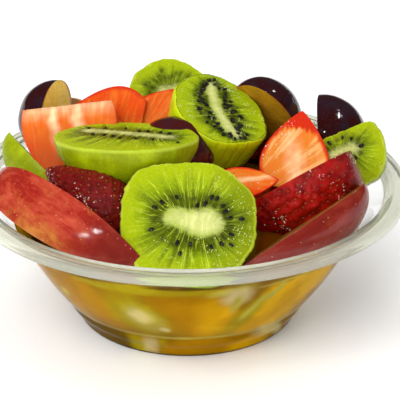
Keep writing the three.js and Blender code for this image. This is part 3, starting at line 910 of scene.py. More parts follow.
def kiwi_half(look, settings, seeds, materials):
    """Half a peeled kiwi below its oval cut face at local z = 0, faceted by the knife."""
    rx, ry, rz = look["radii"]
    around = look["around"]
    angles = np.linspace(0, TAU, around, endpoint=False)
    edge = np.minimum(knife_edge(look["flats"], angles, 26), 1.0)
    oval = turned(angles) * [rx, ry] * edge[:, None]
    knife = knife_edge([(d + 9, 1.0) for d in range(0, 360, 24)], angles, 40)
    knife -= knife.mean()
    rows = [(share, 0.0, 0.0) for share in np.linspace(0.01, 0.975, 56)]
    face_rows = len(rows)
    rows += [(0.985, -0.05, 0.02), (0.994, -0.35, 0.02), (0.998, -0.9, 0.02)]
    for t in np.linspace(0.05, 0.985, 54):
        c, s = math.cos(t * math.pi / 2), math.sin(t * math.pi / 2)
        facet = 1 + knife * min(1.0, 3 * t) * (1 - t) ** 0.3
        rows.append((c * facet, -rz * s, s))
    rings = [level(oval * np.reshape(share, (-1, 1)), z) for share, z, _ in rows]
    points, faces, row_of, _ = closed_rings(rings)
    depth = per_point([deep for _, _, deep in rows], around)
    depth[-1] = 1.0
    angle = np.arctan2(points[:, 1] / ry, points[:, 0] / rx)
    at_edge = np.hypot(*(turned(angle) * [rx, ry]).T)
    tone, streak = kiwi_fields(points, at_edge, look["core"], depth)
    tone[:, 0] *= (0.78 + 0.3 * waves(points, 6, 4)).clip(0.4, 0.95)
    tone[:, 1] = 0.10 + 0.90 * tone[:, 1]
    on_face = points[:, 2] > -0.02
    side_streak = np.column_stack([turned(angle) * 14, points[:, 2] * 0.05])
    streak = np.where(on_face[:, None], streak, side_streak)

    def fits(a, radius):
        return math.hypot(math.cos(a) * radius / rx, math.sin(a) * radius / ry) < 0.93

    buried = seed_spots(look["core"], look["ring"], look["seeds"], settings.seed + 2, fits)
    spots = np.array(look["spots"], float)
    aims = outward_at(spots, look["core"])
    close, dark = seed_marks(points, spots, aims, buried, (MARK_WIDTH, 2.1, 1.5), (0.7, 0.4, 0.35))
    lift = 0.12 * waves(points, 2.0, 31) + 0.2 * tone[:, 0] - 0.3 * close
    inner = on_face & (per_point(np.arange(len(rows)), around) < face_rows - 1)
    rough = np.where(on_face, 0.0, 0.12 * waves(points, 7.0, 32) + 0.04 * waves(points, 2.0, 33))
    moved = points + unit(points) * rough[:, None]
    moved[:, 2] += np.where(inner, lift, 0.0)
    seeds.lay(look, spots, aims, SEED_LIFT)
    return in_place(look, "kiwi", moved, faces, materials, row_of >= face_rows, tone=tone,
                    streak=streak, local=points + 50.0, shade=np.where(on_face, dark, 0.0))


# ------------------------------------------------------------------ sectors of round fruit

# Half is the sector's half angle, pit the radius of the stone's hollow, blush the red in the skin,
# and a share of painted shade darkens it towards one end. Gold marks the skin's low side, and light
# paints the cut faces lighter, as painted light.
WEDGES = [
    dict(node="kiwi_wedge_left", at=(-52.6, 10, 52.8), turn=(-20, 2, 49), radii=(15, 24, 15),
         half=30, kind="kiwi"),
    dict(node="plum_half_centre", at=(-4.2, 3, 66.5), turn=(20, 55, 60), radii=(13, 15, 13),
         half=90, pit=5, kind="plum", blush=0.28),
    dict(node="plum_half_rear", at=(31, 33, 66.5), turn=(145, 28, 0), radii=(15, 20, 15), half=90,
         kind="plum"),
    dict(node="plum_half_left", at=(-51.5, 24, 71), turn=(-113, -1, 8), radii=(14.7, 15.5, 14.7),
         half=90, kind="plum", light=0.9),
    dict(node="plum_wedge_right", at=(54.5, 30, 59.5), turn=(55, 25, -25), radii=(17, 18, 17),
         half=60, pit=6, kind="plum"),
    dict(node="plum_half_back", at=(45, 44, 48), turn=(140, 45, 60), radii=(13, 16, 12), half=90,
         pit=6, kind="plum"),
    dict(node="nectarine_wedge_right", at=(37.6, -38.9, 50.9), turn=(58, -50, -37.8),
         radii=(19, 34, 17), half=90, kind="nectarine", blush=0.85),
    dict(node="nectarine_wedge_left", at=(-41.5, -30.3, 48.4), turn=(-32.6, 38.4, 75.8),
         radii=(27.4, 40.5, 27.4), half=21.5, pit=11, kind="nectarine", blush=0.05, painted_end_shade=1.0,
         gold=0.85),
    dict(node="nectarine_wedge_back", at=(-38, 46, 46), turn=(-150, -38, -12), radii=(15, 26, 13),
         half=90, pit=8, kind="nectarine"),
]
WEDGE = dict(pit=0, blush=0.0, painted_end_shade=0, gold=0, light=0.0)
SKIN_STEPS, CUT_STEPS, HOLLOW_STEPS = 110, 34, 24


def wedge(look, materials):
    """A sector round the core, which lies on local Y, with the middle of its skin at +Z."""
    rx, ry, rz = look["radii"]
    half, pit = math.radians(look["half"]), look["pit"]
    arc = turned(np.linspace(-half, half, SKIN_STEPS))[:, ::-1]
    steps = np.linspace(0, 1, CUT_STEPS + 2)[1:-1, None]
    hollow = np.linspace(SKIN_STEPS - 1, 0, HOLLOW_STEPS).astype(int)
    rings = []
    for t in np.concatenate([[-0.998, -0.992, -0.98], np.linspace(-0.965, 0.965, 110),
                             [0.98, 0.992, 0.998]]):
        y, slim = math.sin(t * math.pi / 2) * ry, math.cos(t * math.pi / 2)
        far = arc * [rx, rz] * slim
        inside = pit * math.sqrt(max(1 - (y / (1.35 * pit)) ** 2, 0)) if pit else 0.0
        core = arc * max(min(inside, 0.9 * slim * min(rx, rz)), 0.02)
        right = far[-1] * (1 - steps) + core[-1] * steps
        left = core[0] * (1 - steps) + far[0] * steps
        rings.append(upright(np.vstack([far, right, core[hollow], left]), y))
    points, faces, _, column_of = closed_rings(rings)
    down = np.linspace(1, 0, CUT_STEPS + 2)[1:-1]
    share = np.concatenate([np.ones(SKIN_STEPS), down, np.zeros(HOLLOW_STEPS), down[::-1]])
    on_skin = per_column(np.arange(len(share)) < SKIN_STEPS, len(rings), True)
    share = per_column(share, len(rings), 1.0)
    seed = len(look["node"])
    wobble = 0.25 * waves(points, 16, seed) + 0.04 * waves(points, 3, seed + 1)
    bumpy = 0.10 * waves(points, 3.0, seed + 2) + 0.2 * waves(points, 9.0, seed + 3)
    inward = np.where(on_skin | (share <= 0.02), 0.0, bumpy * np.sin(share * math.pi))
    side = np.sign(points[:, 0])
    normal = np.column_stack([side * math.cos(half), 0 * side, 0 * side - math.sin(half)])
    moved = points + np.where(on_skin, wobble, 0.0)[:, None] * unit(points * [1, 0, 1])
    moved += normal * inward[:, None]
    # The end's share adds painted shade: the skin darker towards one end.
    blush = look["blush"] + 0.95 * smooth(0.3, 0.75, -points[:, 1] / ry) * look["painted_end_shade"]
    tone = np.column_stack([share, np.clip(blush, 0, 1), np.where(on_skin, 0.3, share)])
    angle = np.arctan2(points[:, 1], np.hypot(points[:, 0], points[:, 2]))
    streak = np.column_stack([turned(angle) * 9, side * 3 + 0.1 * share])
    low_side = smooth(1, 9, -points[:, 0]) * smooth(-24, -6, points[:, 1])
    low_side = look["gold"] * (low_side * (1 - smooth(8, 20, points[:, 1])))
    # On the cut faces the shade field carries the row's light: painted light on the flesh.
    return in_place(look, look["kind"], moved, faces, materials, column_of >= SKIN_STEPS - 1,
                    tone=tone, streak=streak, local=points + seed * 7.0,
                    shade=np.where(on_skin, low_side, look["light"]))


# ------------------------------------------------------------------ strawberries

# Hull is where the berry is cut off, as a share of its length, and dome how far it rises there.
# The fan is the point in the cut face from which the fibres spread, ripe goes from peach to
# orange-red flesh, dark from red to maroon skin, and a stripe is a cream band along the berry:
# its place across, its lean and its half width. Wet is a finish and its number of pale beads of
# juice, which paint glints on it.
BERRIES = [
    dict(node="strawberry_half_right", at=(41.8, 2, 63), turn=(5, 40, 168), radius=13.6, length=40,
         hull=0.8, fan=(29, 34), fibre=0.8, ripe=0.0, dark=0.1, tip=(0.12, 0.40), ragged=0.035,
         fade=(0.15, 0.5), stripes=[(0.5, -0.3, 4.5)], wet=(0, 70)),
    dict(node="strawberry_half_small", at=(21, -16, 61.5), turn=(0, 70, 96), radius=8.5, length=28,
         fan=(0, 40), fibre=0.6, ripe=0.45, dark=0.1, cream=0.9, fade=(0.02, 0.2), under=0.6,
         stripes=[(1.2, -0.06, 1.5)], wet=(0, 14)),
    dict(node="strawberry_skin_right", at=(40.2, -15, 60.4), turn=(226.2, 49.7, 48.5), radius=22,
         length=72, hull=0.78, dome=5, dull=0.7, ends=(-30, 30), fan=(0, 30), fibre=0.6, ripe=0.8,
         dark=0.05, wet=(1, 100)),
    dict(node="strawberry_skin_left", at=(-35.8, -29.6, 60.9), turn=(170, -45, 120), radius=13,
         length=44, fan=(0, 30), fibre=0.6, ripe=0.8, dark=0.8, wet=(1, 90)),
    dict(node="strawberry_half_left", at=(-45.1, 5, 74), turn=(-4, 32, 8), radius=18.4, length=56,
         hull=0.68, fan=(-6, -90), fibre=0.3, ripe=0.6, dark=0.2, low=1, edge=0.7, cream=1.15,
         stripes=[(-5.6, -0.04, 2.3), (3.6, -0.04, 2.9)]),
    dict(node="strawberry_slice_rear_left", at=(-29.5, 17, 71.5), turn=(0, 35, -102), radius=16,
         length=38, hull=0.8, fan=(60, 4), fibre=0.65, ripe=1.0, dark=0.1),
    dict(node="strawberry_slice_rear_right", at=(-13, 19, 70.5), turn=(0, 35, 148), radius=13,
         length=34, hull=0.8, back=9, fan=(4, 24), fibre=0.75, ripe=0.8, dark=0.1),
    dict(node="strawberry_half_back", at=(22, 50, 56), turn=(160, 45, 200), radius=15, length=40,
         hull=0.8, fan=(0, 40), fibre=0.7, ripe=0.4, dark=0.1, stripes=[(0, 0.05, 1.6)]),
    dict(node="strawberry_skin_back", at=(-34, 32, 58), turn=(10, -50, 60), radius=14, length=40,
         fan=(0, 30), fibre=0.6, ripe=0.8, dark=0.3),
]
UNCUT = 1e3
BERRY = dict(hull=0.9, back=UNCUT, dome=-1.8, ends=(-UNCUT, UNCUT), ragged=0, tip=(0.0, 0.2),
             stripes=[], fade=(0.25, 0.62), edge=0, cream=1.0, low=0, dull=0, under=0, wet=None)
PIP_DEPTH = 0.6
PIP_SHADE = (0.26, 0.07, 0.014)
DIMPLE_WIDTH = 1.3
DIMPLE_DEPTH = 0.75
BERRY_SKIN_STEPS, BERRY_FACE_STEPS = 130, 90


def swell(t):
    """The berry's radius along its length, from 0 at the tip to 1 at its widest."""
    return np.sin(np.pi * np.clip(t, 0, 1) ** 1.2) ** 0.7


def pip_spots(look, settings):
    """Pips in a spiral over the skin, evenly by area: places and outward directions."""
    radius, size, hull = look["radius"], look["length"], look["hull"]
    t = np.linspace(0.02, hull - 0.03, 400)
    ring = radius * swell(t)
    area = np.cumsum(ring * np.hypot(np.gradient(ring), np.gradient(t) * size))
    count = int(TAU * area[-1] / settings.pip_gap**2 / 0.92)
    low, high = look["ends"]
    at, up = [], []
    for i in range(count):
        place = np.interp((i + 0.5) / count * area[-1], area, t)
        turn = i * GOLDEN_ANGLE + 0.5 + 0.05 * math.sin(7.3 * i)
        r, y = radius * float(swell(place)), size * (place - 0.5)
        z = r * math.sin(turn)
        if 0.8 - look["back"] <= z <= -0.9 and low + 0.8 < y < high - 0.8:
            slope = radius * float(swell(place + 0.01) - swell(place - 0.01)) / (0.02 * size)
            at.append((r * math.cos(turn), y, z))
            up.append((math.cos(turn), -slope, math.sin(turn)))
    return np.reshape(at, (-1, 3)), unit(np.reshape(up, (-1, 3)))


def strawberry(look, settings, pips, materials):
    """A strawberry kept below its cut face, which is at local z = 0."""
    radius, size, hull = look["radius"], look["length"], look["hull"]
    back, dome = look["back"], look["dome"]
    low, high = look["ends"]
    places = np.concatenate([[0.002, 0.006, 0.014, 0.026], np.linspace(0.04, hull, 116)])
    rows = [(radius * float(swell(t)), size * (t - 0.5)) for t in places]
    top_r, top_y = rows[-1]
    rows += [(top_r * share, top_y + dome * (math.sqrt(1 - share**2) if dome > 0 else 1 - share))
             for share in (0.99, 0.97, 0.93, 0.87, 0.78, 0.66, 0.5, 0.32, 0.12, 0.04)]
    flat = np.linspace(-1, 1, BERRY_FACE_STEPS + 2)[1:-1]
    section = np.vstack([turned(np.linspace(0, -math.pi, BERRY_SKIN_STEPS)),
                         np.column_stack([flat, np.zeros(BERRY_FACE_STEPS)])])
    rings = [upright(np.maximum(section * r, [-np.inf, -back]), min(max(y, low), high))
             for r, y in rows]
    points, faces, _, column_of = closed_rings(rings)
    on_face = per_column(np.arange(len(section)) >= BERRY_SKIN_STEPS, len(rings), True)
    along = points[:, 1] / size + 0.5
    across = np.abs(points[:, 0]) / np.maximum(radius * swell(along), 0.5)
    ragged = along + look["ragged"] * waves(points[:, :1], 2.4, 5)
    tip = smooth(*look["tip"], ragged)
    across = np.where(on_face, 1 - (1 - across.clip(0, 1)) * tip,
                      np.where(points[:, 2] <= -back + 1e-3, across, 1.0))
    at, up = pip_spots(look, settings)
    dimple = np.zeros(len(points))
    dimple[~on_face] = near(points[~on_face], at, DIMPLE_WIDTH)
    seed = len(look["node"]) + int(radius)
    lumps = 0.35 * waves(points, 12, seed) + 0.12 * waves(points, 3.4, seed + 1)
    fade = smooth(0, 1.2, -points[:, 2])
    lumps = np.where(on_face, 0, (lumps - DIMPLE_DEPTH * dimple) * fade)
    bumps = 0.14 * waves(points, 2.6, seed + 2) + 0.25 * waves(points, 9, seed + 3)
    moved = points + unit(points * [1, 0, 1]) * lumps[:, None]
    moved[:, 2] += np.where(on_face, bumps * (1 - across**3), 0.0)
    fan = points[:, :2] - look["fan"]
    spread = np.arctan2(fan[:, 1], fan[:, 0]) * max(12.0, math.hypot(*look["fan"]))
    streak = np.column_stack([turned(spread / 30) * 30, 0.09 * np.hypot(*fan.T)])
    cream = np.zeros(len(points))
    for x, lean, width in look["stripes"]:
        band = points[:, 0] - x - lean * points[:, 1] + 0.5 * waves(points[:, 1:2], 9, seed + 7)
        cream = np.maximum(cream, 1 - smooth(0.1 * width, 1.4 * width, np.abs(band)))
    cream = np.maximum(cream * smooth(*look["fade"], along),
                       look["edge"] * smooth(hull - 0.12, hull, along))
    cream *= look["cream"] * (0.85 + 0.25 * waves(points, 4, seed + 9)).clip(0.4, 1)
    # Towards the low end the flesh is redder and darker: partly its own colour, partly painted
    # shade.
    low_part = look["low"] * (1 - smooth(0.25, 0.62, along))
    skin_dark = look["dark"] + look["dull"] * smooth(top_y - 9, top_y + 3, points[:, 1])
    under = look["under"] * smooth(1, 6, -points[:, 0])
    ripe = np.clip(look["ripe"] + 0.4 * low_part + under, 0, 1)
    tone = np.column_stack([across, np.where(on_face, 0.85 * low_part, skin_dark), ripe])
    pips.take(look, at - up * DIMPLE_DEPTH, up, np.tile([0.0, 1.0, 0.0], (len(at), 1)))
    # On the skin the shade field holds the dimples, for the painted shade in them.
    shade, fibre = np.where(on_face, cream, dimple), np.full(len(points), look["fibre"])
    return in_place(look, "strawberry", moved, faces, materials, column_of < BERRY_SKIN_STEPS - 1,
                    tone=tone, streak=streak, local=points + seed * 5.0, shade=shade, fibre=fibre)


# ------------------------------------------------------------------ seeds, pips and beads


def scatter_tree(name, material):
    """Geometry nodes that set one drop-shaped body on each point and join them all. Gives the
    tree and the identifiers of its named inputs."""
    tree = bpy.data.node_groups.new(name, "GeometryNodeTree")

    def socket(label, kind, way="INPUT"):
        kind = "NodeSocket" + kind
        return tree.interface.new_socket(label, in_out=way, socket_type=kind).identifier

    socket("Geometry", "Geometry")
    sockets = {label: socket(label, "Float") for label in ("Length", "Width", "Depth", "Spread")}
    sockets["Seed"] = socket("Seed", "Int")
    socket("Geometry", "Geometry", "OUTPUT")
    add = Nodes(tree).add
    given = add("NodeGroupInput").outputs
    ball = add("GeometryNodeMeshUVSphere", dict(Segments=8, Rings=6, Radius=0.5))
    size = add("ShaderNodeCombineXYZ", {0: given["Length"], 1: given["Width"], 2: given["Depth"]})
    body = add("GeometryNodeTransform", dict(Geometry=ball.outputs["Mesh"], Scale=size.outputs[0]))
    up, along = (add("GeometryNodeInputNamedAttribute", dict(Name=key), data_type="FLOAT_VECTOR")
                 for key in ("up", "along"))
    align = "FunctionNodeAlignRotationToVector"
    stand = add(align, dict(Vector=up.outputs["Attribute"]), axis="Z")
    turn = add(align, dict(Rotation=stand.outputs[0], Vector=along.outputs["Attribute"]),
               axis="X", pivot_axis="Z")
    low, high = (add("ShaderNodeMath", {0: 1.0, 1: given["Spread"]}, operation=way)
                 for way in ("SUBTRACT", "ADD"))
    draw = add("FunctionNodeRandomValue",
               {2: low.outputs[0], 3: high.outputs[0], "Seed": given["Seed"]}, data_type="FLOAT")
    spread = add("GeometryNodeInstanceOnPoints",
                 dict(Points=given["Geometry"], Instance=body.outputs[0], Rotation=turn.outputs[0],
                      Scale=draw.outputs[1]))
    real = add("GeometryNodeRealizeInstances", {0: spread.outputs[0]})
    round_off = add("GeometryNodeSetShadeSmooth", {0: real.outputs[0]})
    coat = add("GeometryNodeSetMaterial", dict(Geometry=round_off.outputs[0], Material=material))
    add("NodeGroupOutput", {0: coat.outputs[0]})
    return tree, sockets


def scattered(name, places, sizes, spread, seed, material):
    """One joined mesh of small bodies on all the gathered places."""
    mesh = bpy.data.meshes.new(name)
    mesh.from_pydata((np.vstack(places.at) * MM).tolist(), [], [])
    hold(mesh, up=np.vstack(places.up), along=np.vstack(places.along))
    source = shown(name + "_points", mesh)
    tree, sockets = scatter_tree(name, material)
    modifier = source.modifiers.new("scatter", "NODES")
    modifier.node_group = tree
    for label, value in zip(("Length", "Width", "Depth"), sizes):
        modifier[sockets[label]] = value * MM
    modifier[sockets["Spread"]] = spread
    modifier[sockets["Seed"]] = seed
    ready = source.evaluated_get(bpy.context.evaluated_depsgraph_get())
    made = bpy.data.meshes.new_from_object(ready)
    bpy.data.objects.remove(source)
    made.name = name
    piece = shown(name, made)
    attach(piece, "root")
    return piece


def wet(piece, count, beads, seed, side=0, lean=(0, 0, 0)):
    """Draws places for beads of juice over one finish of a piece, thicker in some parts and
    towards one side. The beads are pale, as painted glints."""
    draw = np.random.default_rng(seed)
    faces = [p for p in piece.data.polygons
             if p.material_index == side and p.normal.z - p.normal.y > 0.3]
    areas = np.array([p.area for p in faces])
    middles = np.array([p.center for p in faces]) / MM
    normals = np.array([p.normal for p in faces])
    tilt = (middles - middles.mean(0)) @ np.array(lean, float)
    uneven = waves(middles, 14, seed) + 0.5 * waves(middles, 5, seed + 1) + tilt
    weight = areas * smooth(-0.4, 1.0, uneven) ** 2
    chosen = draw.choice(len(faces), count, p=weight / weight.sum())
    beads.at.append(middles[chosen] + normals[chosen] * 0.02)
    beads.up.append(normals[chosen])
    beads.along.append(draw.normal(size=(count, 3)))


# ------------------------------------------------------------------ bowl and bed

# The rim, from under the lip round the turned-down edge and back to the lip: out and up from the
# lip or from the flange's edge.
UNDER_LIP = [(-0.2, -1.9), (1.2, -1.9)]
FLANGE = [
    (-2.2, -2.0), (-1.2, -2.3), (-0.95, -3.0), (-0.9, 0.1 - FLANGE_DROP), (-0.5, -FLANGE_DROP),
    (-0.1, 0.1 - FLANGE_DROP), (0, -3.0), (0, -1.5), (-0.25, -1.0), (-0.8, -0.7), (-1.6, -0.62),
    (-2.3, -0.75), (-2.9, -1.05), (-4.0, -1.1),
]
OVER_LIP = [(1.6, -1.0), (1.0, -0.55), (0.5, -0.1), (-0.1, 0.0), (-0.6, -0.05), (-0.95, -0.35),
            (-1.2, -0.9)]

# What shows of the bed through the wall: azimuth, height, half width and half height in mm, lean
# in degrees, softness and colour. Later ones lie over earlier ones. Some are painted light: the
# thin pale band at the step's height and the white patches low on the right are painted highlights,
# and the dark bands at the bed's level are painted shade under the rim.
BED_PATCHES = [
    (-62, 28, 18, 14, 0, 0.5, "fruit"), (-70, 36, 9, 5, 20, 0.4, "juice"),
    (-44, 34, 12, 5, -8, 0.4, "fruit"), (-38, 24, 15, 10, -12, 0.3, "fruit"),
    (-52, 26, 2.4, 1.8, 20, 0.6, "pale"), (-66, 18, 9, 5, 10, 0.5, "juice"),
    (1, 27, 18.5, 11.5, -6, 0.13, "fruit"), (-4, 31, 8, 3.5, 0, 0.6, "fruit"),
    (10, 25, 7.5, 9, 10, 0.6, "gold"), (-19, 24.5, 12.5, 9, -44, 0.5, "green"),
    (-16.5, 23, 8.5, 5.5, -44, 0.5, "pale"), (-18, 24.5, 4.0, 3.2, -40, 0.6, "white"),
    (-9.5, 17.6, 2.2, 1.3, -10, 0.5, "white"), (14, 39.6, 8.5, 2.0, 8, 0.45, "pale"),
    (17, 36, 5.6, 4.2, 0, 0.5, "white"), (17, 32, 2.0, 4.5, -12, 0.5, "pale"),
    (43, 29, 20, 11.5, -4, 0.16, "gold"), (35, 18, 15, 7, 12, 0.3, "gold"),
    (60, 22, 9, 5, 10, 0.4, "fruit"), (22.5, 24.5, 3.6, 10, -30, 0.6, "green"),
    (24, 28, 1.3, 7, -30, 0.5, "pale"), (31, 35, 1.4, 5.5, -40, 0.5, "pale"),
    (34, 40, 13, 0.5, 3, 0.5, "pale"), (75, 33, 12, 8, 0, 0.5, "fruit"),
    # The first patch here, a thin pale band along the step, is a painted highlight.
    (0, 11.9, 54, 0.7, 0, 0.7, "pale"), (-54, 5, 24, 6.5, 0, 0.3, "dark"),
    (-34, 4.5, 6, 6.5, 0, 0.7, "dark"), (-24.5, 4.5, 4.0, 6, 0, 0.6, "green"),
    (-17.5, 5, 3.4, 5.4, 0, 0.5, "white"), (-11.5, 4, 2.2, 6, 0, 0.6, "green"),
    (13, 4.5, 20, 6, 0, 0.3, "fruit"), (34, 3.5, 10, 5, 10, 0.4, "gold"),
    # White low on the right, at the base's edge: painted highlights.
    (40, 9.4, 6.5, 3.0, -20, 0.6, "white"), (50, 5.5, 8.5, 1.8, -38, 0.5, "white"),
    (78, 7, 10, 4, 0, 0.5, "white"), (-14, 39.8, 25, 2.4, 1, 0.3, "green"),
    # Dark bands at the bed's level, under the rim: painted shade.
    (-2, 42.0, 13, 0.8, 0, 0.4, "dark"), (-40, 42, 12, 1.5, 0, 0.5, "dark"),
]
# The patches on the far side are drawn: their height and their number.
BACK_PATCHES = [(33, 7), (21, 6), (6, 6)]
BACK_COLOURS = ("fruit", "gold", "fruit", "pale", "dark", "green", "gold")
# Chunks on top of the bed, in circles: their number and the circle's radius.
CHUNKS = [(9, 50), (7, 36), (5, 20), (1, 0)]
CROWN = ([0, 20, 38, 52, 62], [57.5, 56.5, 50.5, 42.0])
CHUNK_RISE = 1.9
CHUNK_SINK = 0.6
BED_PRESS = 0.25
BED_SIDES = 380


def lathe(profile, sides):
    """The rings of a closed skin from a profile of radius and height."""
    circle = turned(np.linspace(0, TAU, sides, endpoint=False))
    return [level(circle * r, z) for r, z in profile]


def bowl_skin(settings):
    """The bowl's rings: up its outer side, round the rim and down the inside."""
    outer, wall = outer_wall(), settings.wall
    inner = offset_profile(outer, wall)
    rim = [(start + out, LIP[1] + up) for start, steps in
           ((LIP[0], UNDER_LIP), (FLANGE_RADIUS, FLANGE), (LIP[0], OVER_LIP)) for out, up in steps]
    profile = [(0.6, 0.0), (20.0, 0.0)] + outer.tolist() + rim + inner[::-1][:-2].tolist()
    profile += [(BASE_RADIUS - 6, wall), (20.0, wall), (0.6, wall)]
    return lathe(profile, settings.sides)


def bed_colours(settings, points):
    """The bed's colour at each point, with soft uneven borders between its patches."""
    azimuth = np.arctan2(points[:, 0], -points[:, 1])
    radius = np.maximum(np.hypot(points[:, 0], points[:, 1]), 1.0)
    hue = np.tile(np.array(settings.juice), (len(points), 1))
    sway = 0.13 * waves(points, 18, settings.seed) + 0.07 * waves(points, 5, settings.seed + 1)
    draw = np.random.default_rng(settings.seed)
    patches = list(BED_PATCHES)
    for height, count in BACK_PATCHES:
        for i in range(count):
            patches.append((95 + 170 * (i + draw.uniform(0.2, 0.8)) / count,
                            height + draw.uniform(-3, 3), draw.uniform(9, 17), draw.uniform(6, 10),
                            draw.uniform(-35, 35), 0.3,
                            BACK_COLOURS[int(draw.integers(len(BACK_COLOURS)))]))
    for degrees, height, wide, high, lean, soft, key in patches:
        off = (azimuth - math.radians(degrees) + math.pi) % TAU - math.pi
        x, y = rotated(off * radius, points[:, 2] - height, math.radians(lean))
        form = (np.abs(x / wide) ** 2.6 + np.abs(y / high) ** 2.6) ** (1 / 2.6) + sway
        share = (1 - smooth(1 - soft, 1 + soft, form))[:, None]
        hue = hue * (1 - share) + np.array(getattr(settings, key)) * share
    return hue


def bed_chunks(seed):
    """Chunks that rise from the top of the bed: place, half size, turn and kind."""
    draw = np.random.default_rng(seed)
    for count, radius in CHUNKS:
        for i in range(count):
            a = (i + draw.uniform(-0.3, 0.3)) / count * TAU
            yield (np.array([math.sin(a) * radius, -math.cos(a) * radius]), draw.uniform(8, 12),
                   draw.uniform(0, math.pi), draw.integers(3))


def bed_skin(settings):
    """The bed's rings, pressed just into the wall up to its level and domed above it. Gives the
    number of rings below the level too."""
    inner = offset_profile(outer_wall(), WALL_THICK - BED_PRESS)[1:]
    below = inner[inner[:, 1] < settings.level]
    base = np.column_stack([np.linspace(1.0, below[0, 0], 14), np.full(14, WALL_THICK - BED_PRESS)])
    steps = np.append(0, np.cumsum(np.hypot(*np.diff(below, axis=0).T)))
    heights = np.linspace(0, 1, 84) * steps[-1]
    wall = np.column_stack([np.interp(heights, steps, side) for side in below.T])
    top_r = below[-1, 0]
    crown = [(62.5, settings.level + 0.8)] if top_r > 62.5 else []
    for share in np.linspace(1, 0, 46)[1:]:
        r = max(share * (top_r - 0.6), 0.6)
        crown.append((r, np.interp(r, CROWN[0], CROWN[1] + [settings.level + 0.6])))
    return lathe(np.vstack([base[:-1], wall, crown]), BED_SIDES), len(base) - 1 + len(wall)


# ------------------------------------------------------------------ operators


def settings_of(context):
    """The add-on's settings in the scene."""
    return context.scene.fruit_salad


class FRUITSALAD_OT_bowl(bpy.types.Operator):
    """Make the clear bowl with its foot, belly and wide rim"""

    bl_idname = "fruitsalad.bowl"
    bl_label = "Clear Bowl"

    def execute(self, context):
        s = settings_of(context).bowl
        points, faces, _, _ = closed_rings(bowl_skin(s))
        middles = np.array([points[f].mean(0) for f in faces])
        out = np.hypot(middles[:, 0], middles[:, 1])
        rim = middles[:, 2] > LIP[1] - HAZE_DROP
        on_lip = (out > LIP[0] - 1.6) & (out < LIP[0] + 1.2)
        # Milkier plastic at the lip and the flange's edge stands in for their bright lines: painted
        # highlight.
        ridge = rim & (on_lip | (out > FLANGE_RADIUS - 2.6))
        finishes = [clear_plastic("clear plastic", s.tint, 1.0, 0.04, 1.07),
                    clear_plastic("hazy plastic rim", s.haze, 0.84, 0.12, 1.15),
                    clear_plastic("thick plastic ridge", s.haze, 0.72, 0.10, 1.18)]
        indices = np.where(ridge, 2, np.where(rim, 1, 0))
        piece = finished("clear_bowl", "bowl", "clear_plastic", points, faces, finishes, indices)
        piece.visible_shadow = False
        return {"FINISHED"}


class FRUITSALAD_OT_bed(bpy.types.Operator):
    """Make the soft yellow fruit and its juice"""

    bl_idname = "fruitsalad.bed"
    bl_label = "Yellow Fruit Bed"

    def execute(self, context):
        s = settings_of(context).bed
        rings, wall_rows = bed_skin(s)
        points, faces, _, _ = closed_rings(rings)
        row = per_point(np.arange(len(rings)), BED_SIDES) - wall_rows
        rise = np.full(len(points), -CHUNK_SINK)
        # Painted shade: the top of the bed, between the pieces, is painted darker and redder than
        # its juice and fruit.
        top = np.tile(np.array(s.juice), (len(points), 1)) * 0.5
        kinds = (s.fruit, s.gold, s.pale)
        for centre, size, turn, kind in bed_chunks(s.seed):
            x, y = rotated(*(points[:, :2] - centre).T, turn)
            form = 1 - (np.abs(x / size) ** 3 + np.abs(y / (0.7 * size)) ** 3) ** (1 / 3)
            rise = np.maximum(rise, CHUNK_RISE * smooth(-0.05, 0.45, form) - CHUNK_SINK)
            share = smooth(-0.02, 0.12, form)[:, None]
            top = top * (1 - share) + 0.36 * np.array(kinds[kind]) * (1.0, 0.5, 0.5) * share
        rise = rise + 0.35 * waves(points, 5, 3)
        moved = points.copy()
        moved[:, 2] += np.where(row >= 0, rise, 0.0) * smooth(0, 4, row + 1.0)
        share = (smooth(0, 3, row + 1.0) * (row >= 0))[:, None]
        hue = bed_colours(s, points) * (1 - share) + top * share
        finished("yellow_fruit_and_juice", "bed", "yellow_fruit", moved, faces, [bed_fruit()],
                 hue=hue, streak=points * [1.0, 1.0, 3.0], local=points)
        return {"FINISHED"}


class FRUITSALAD_OT_kiwi(bpy.types.Operator):
    """Make the kiwi slices, the kiwi half and all their seeds"""

    bl_idname = "fruitsalad.kiwi"
    bl_label = "Kiwi"

    def execute(self, context):
        s = settings_of(context).kiwi
        materials = [kiwi_flesh(s), kiwi_side(s)]
        seeds, beads = Seeds(), Seeds()
        pieces = [kiwi_slice({**KIWI, **look}, s, seeds, materials) for look in KIWIS]
        kiwi_half(HALF, s, seeds, materials)
        for piece, (count, lean) in zip(pieces, KIWI_GLINT_BEADS):
            wet(piece, count, beads, s.seed, 0, lean)
        # Pale beads of juice on the kiwi: painted glints.
        juice = small_body("juice bead", (0.40, 0.50, 0.05), (0.80, 0.84, 0.42), **GLINT_BEAD_FINISH)
        scattered("juice_beads", beads, (0.52, 0.23, 0.15), 0.55, s.seed, juice)
        scattered("kiwi_seeds", seeds, (s.seed_length, s.seed_width, SEED_DEPTH), 0.22, s.seed,
                  seed_finish("kiwi seed", SEED_SHADE))
        return {"FINISHED"}


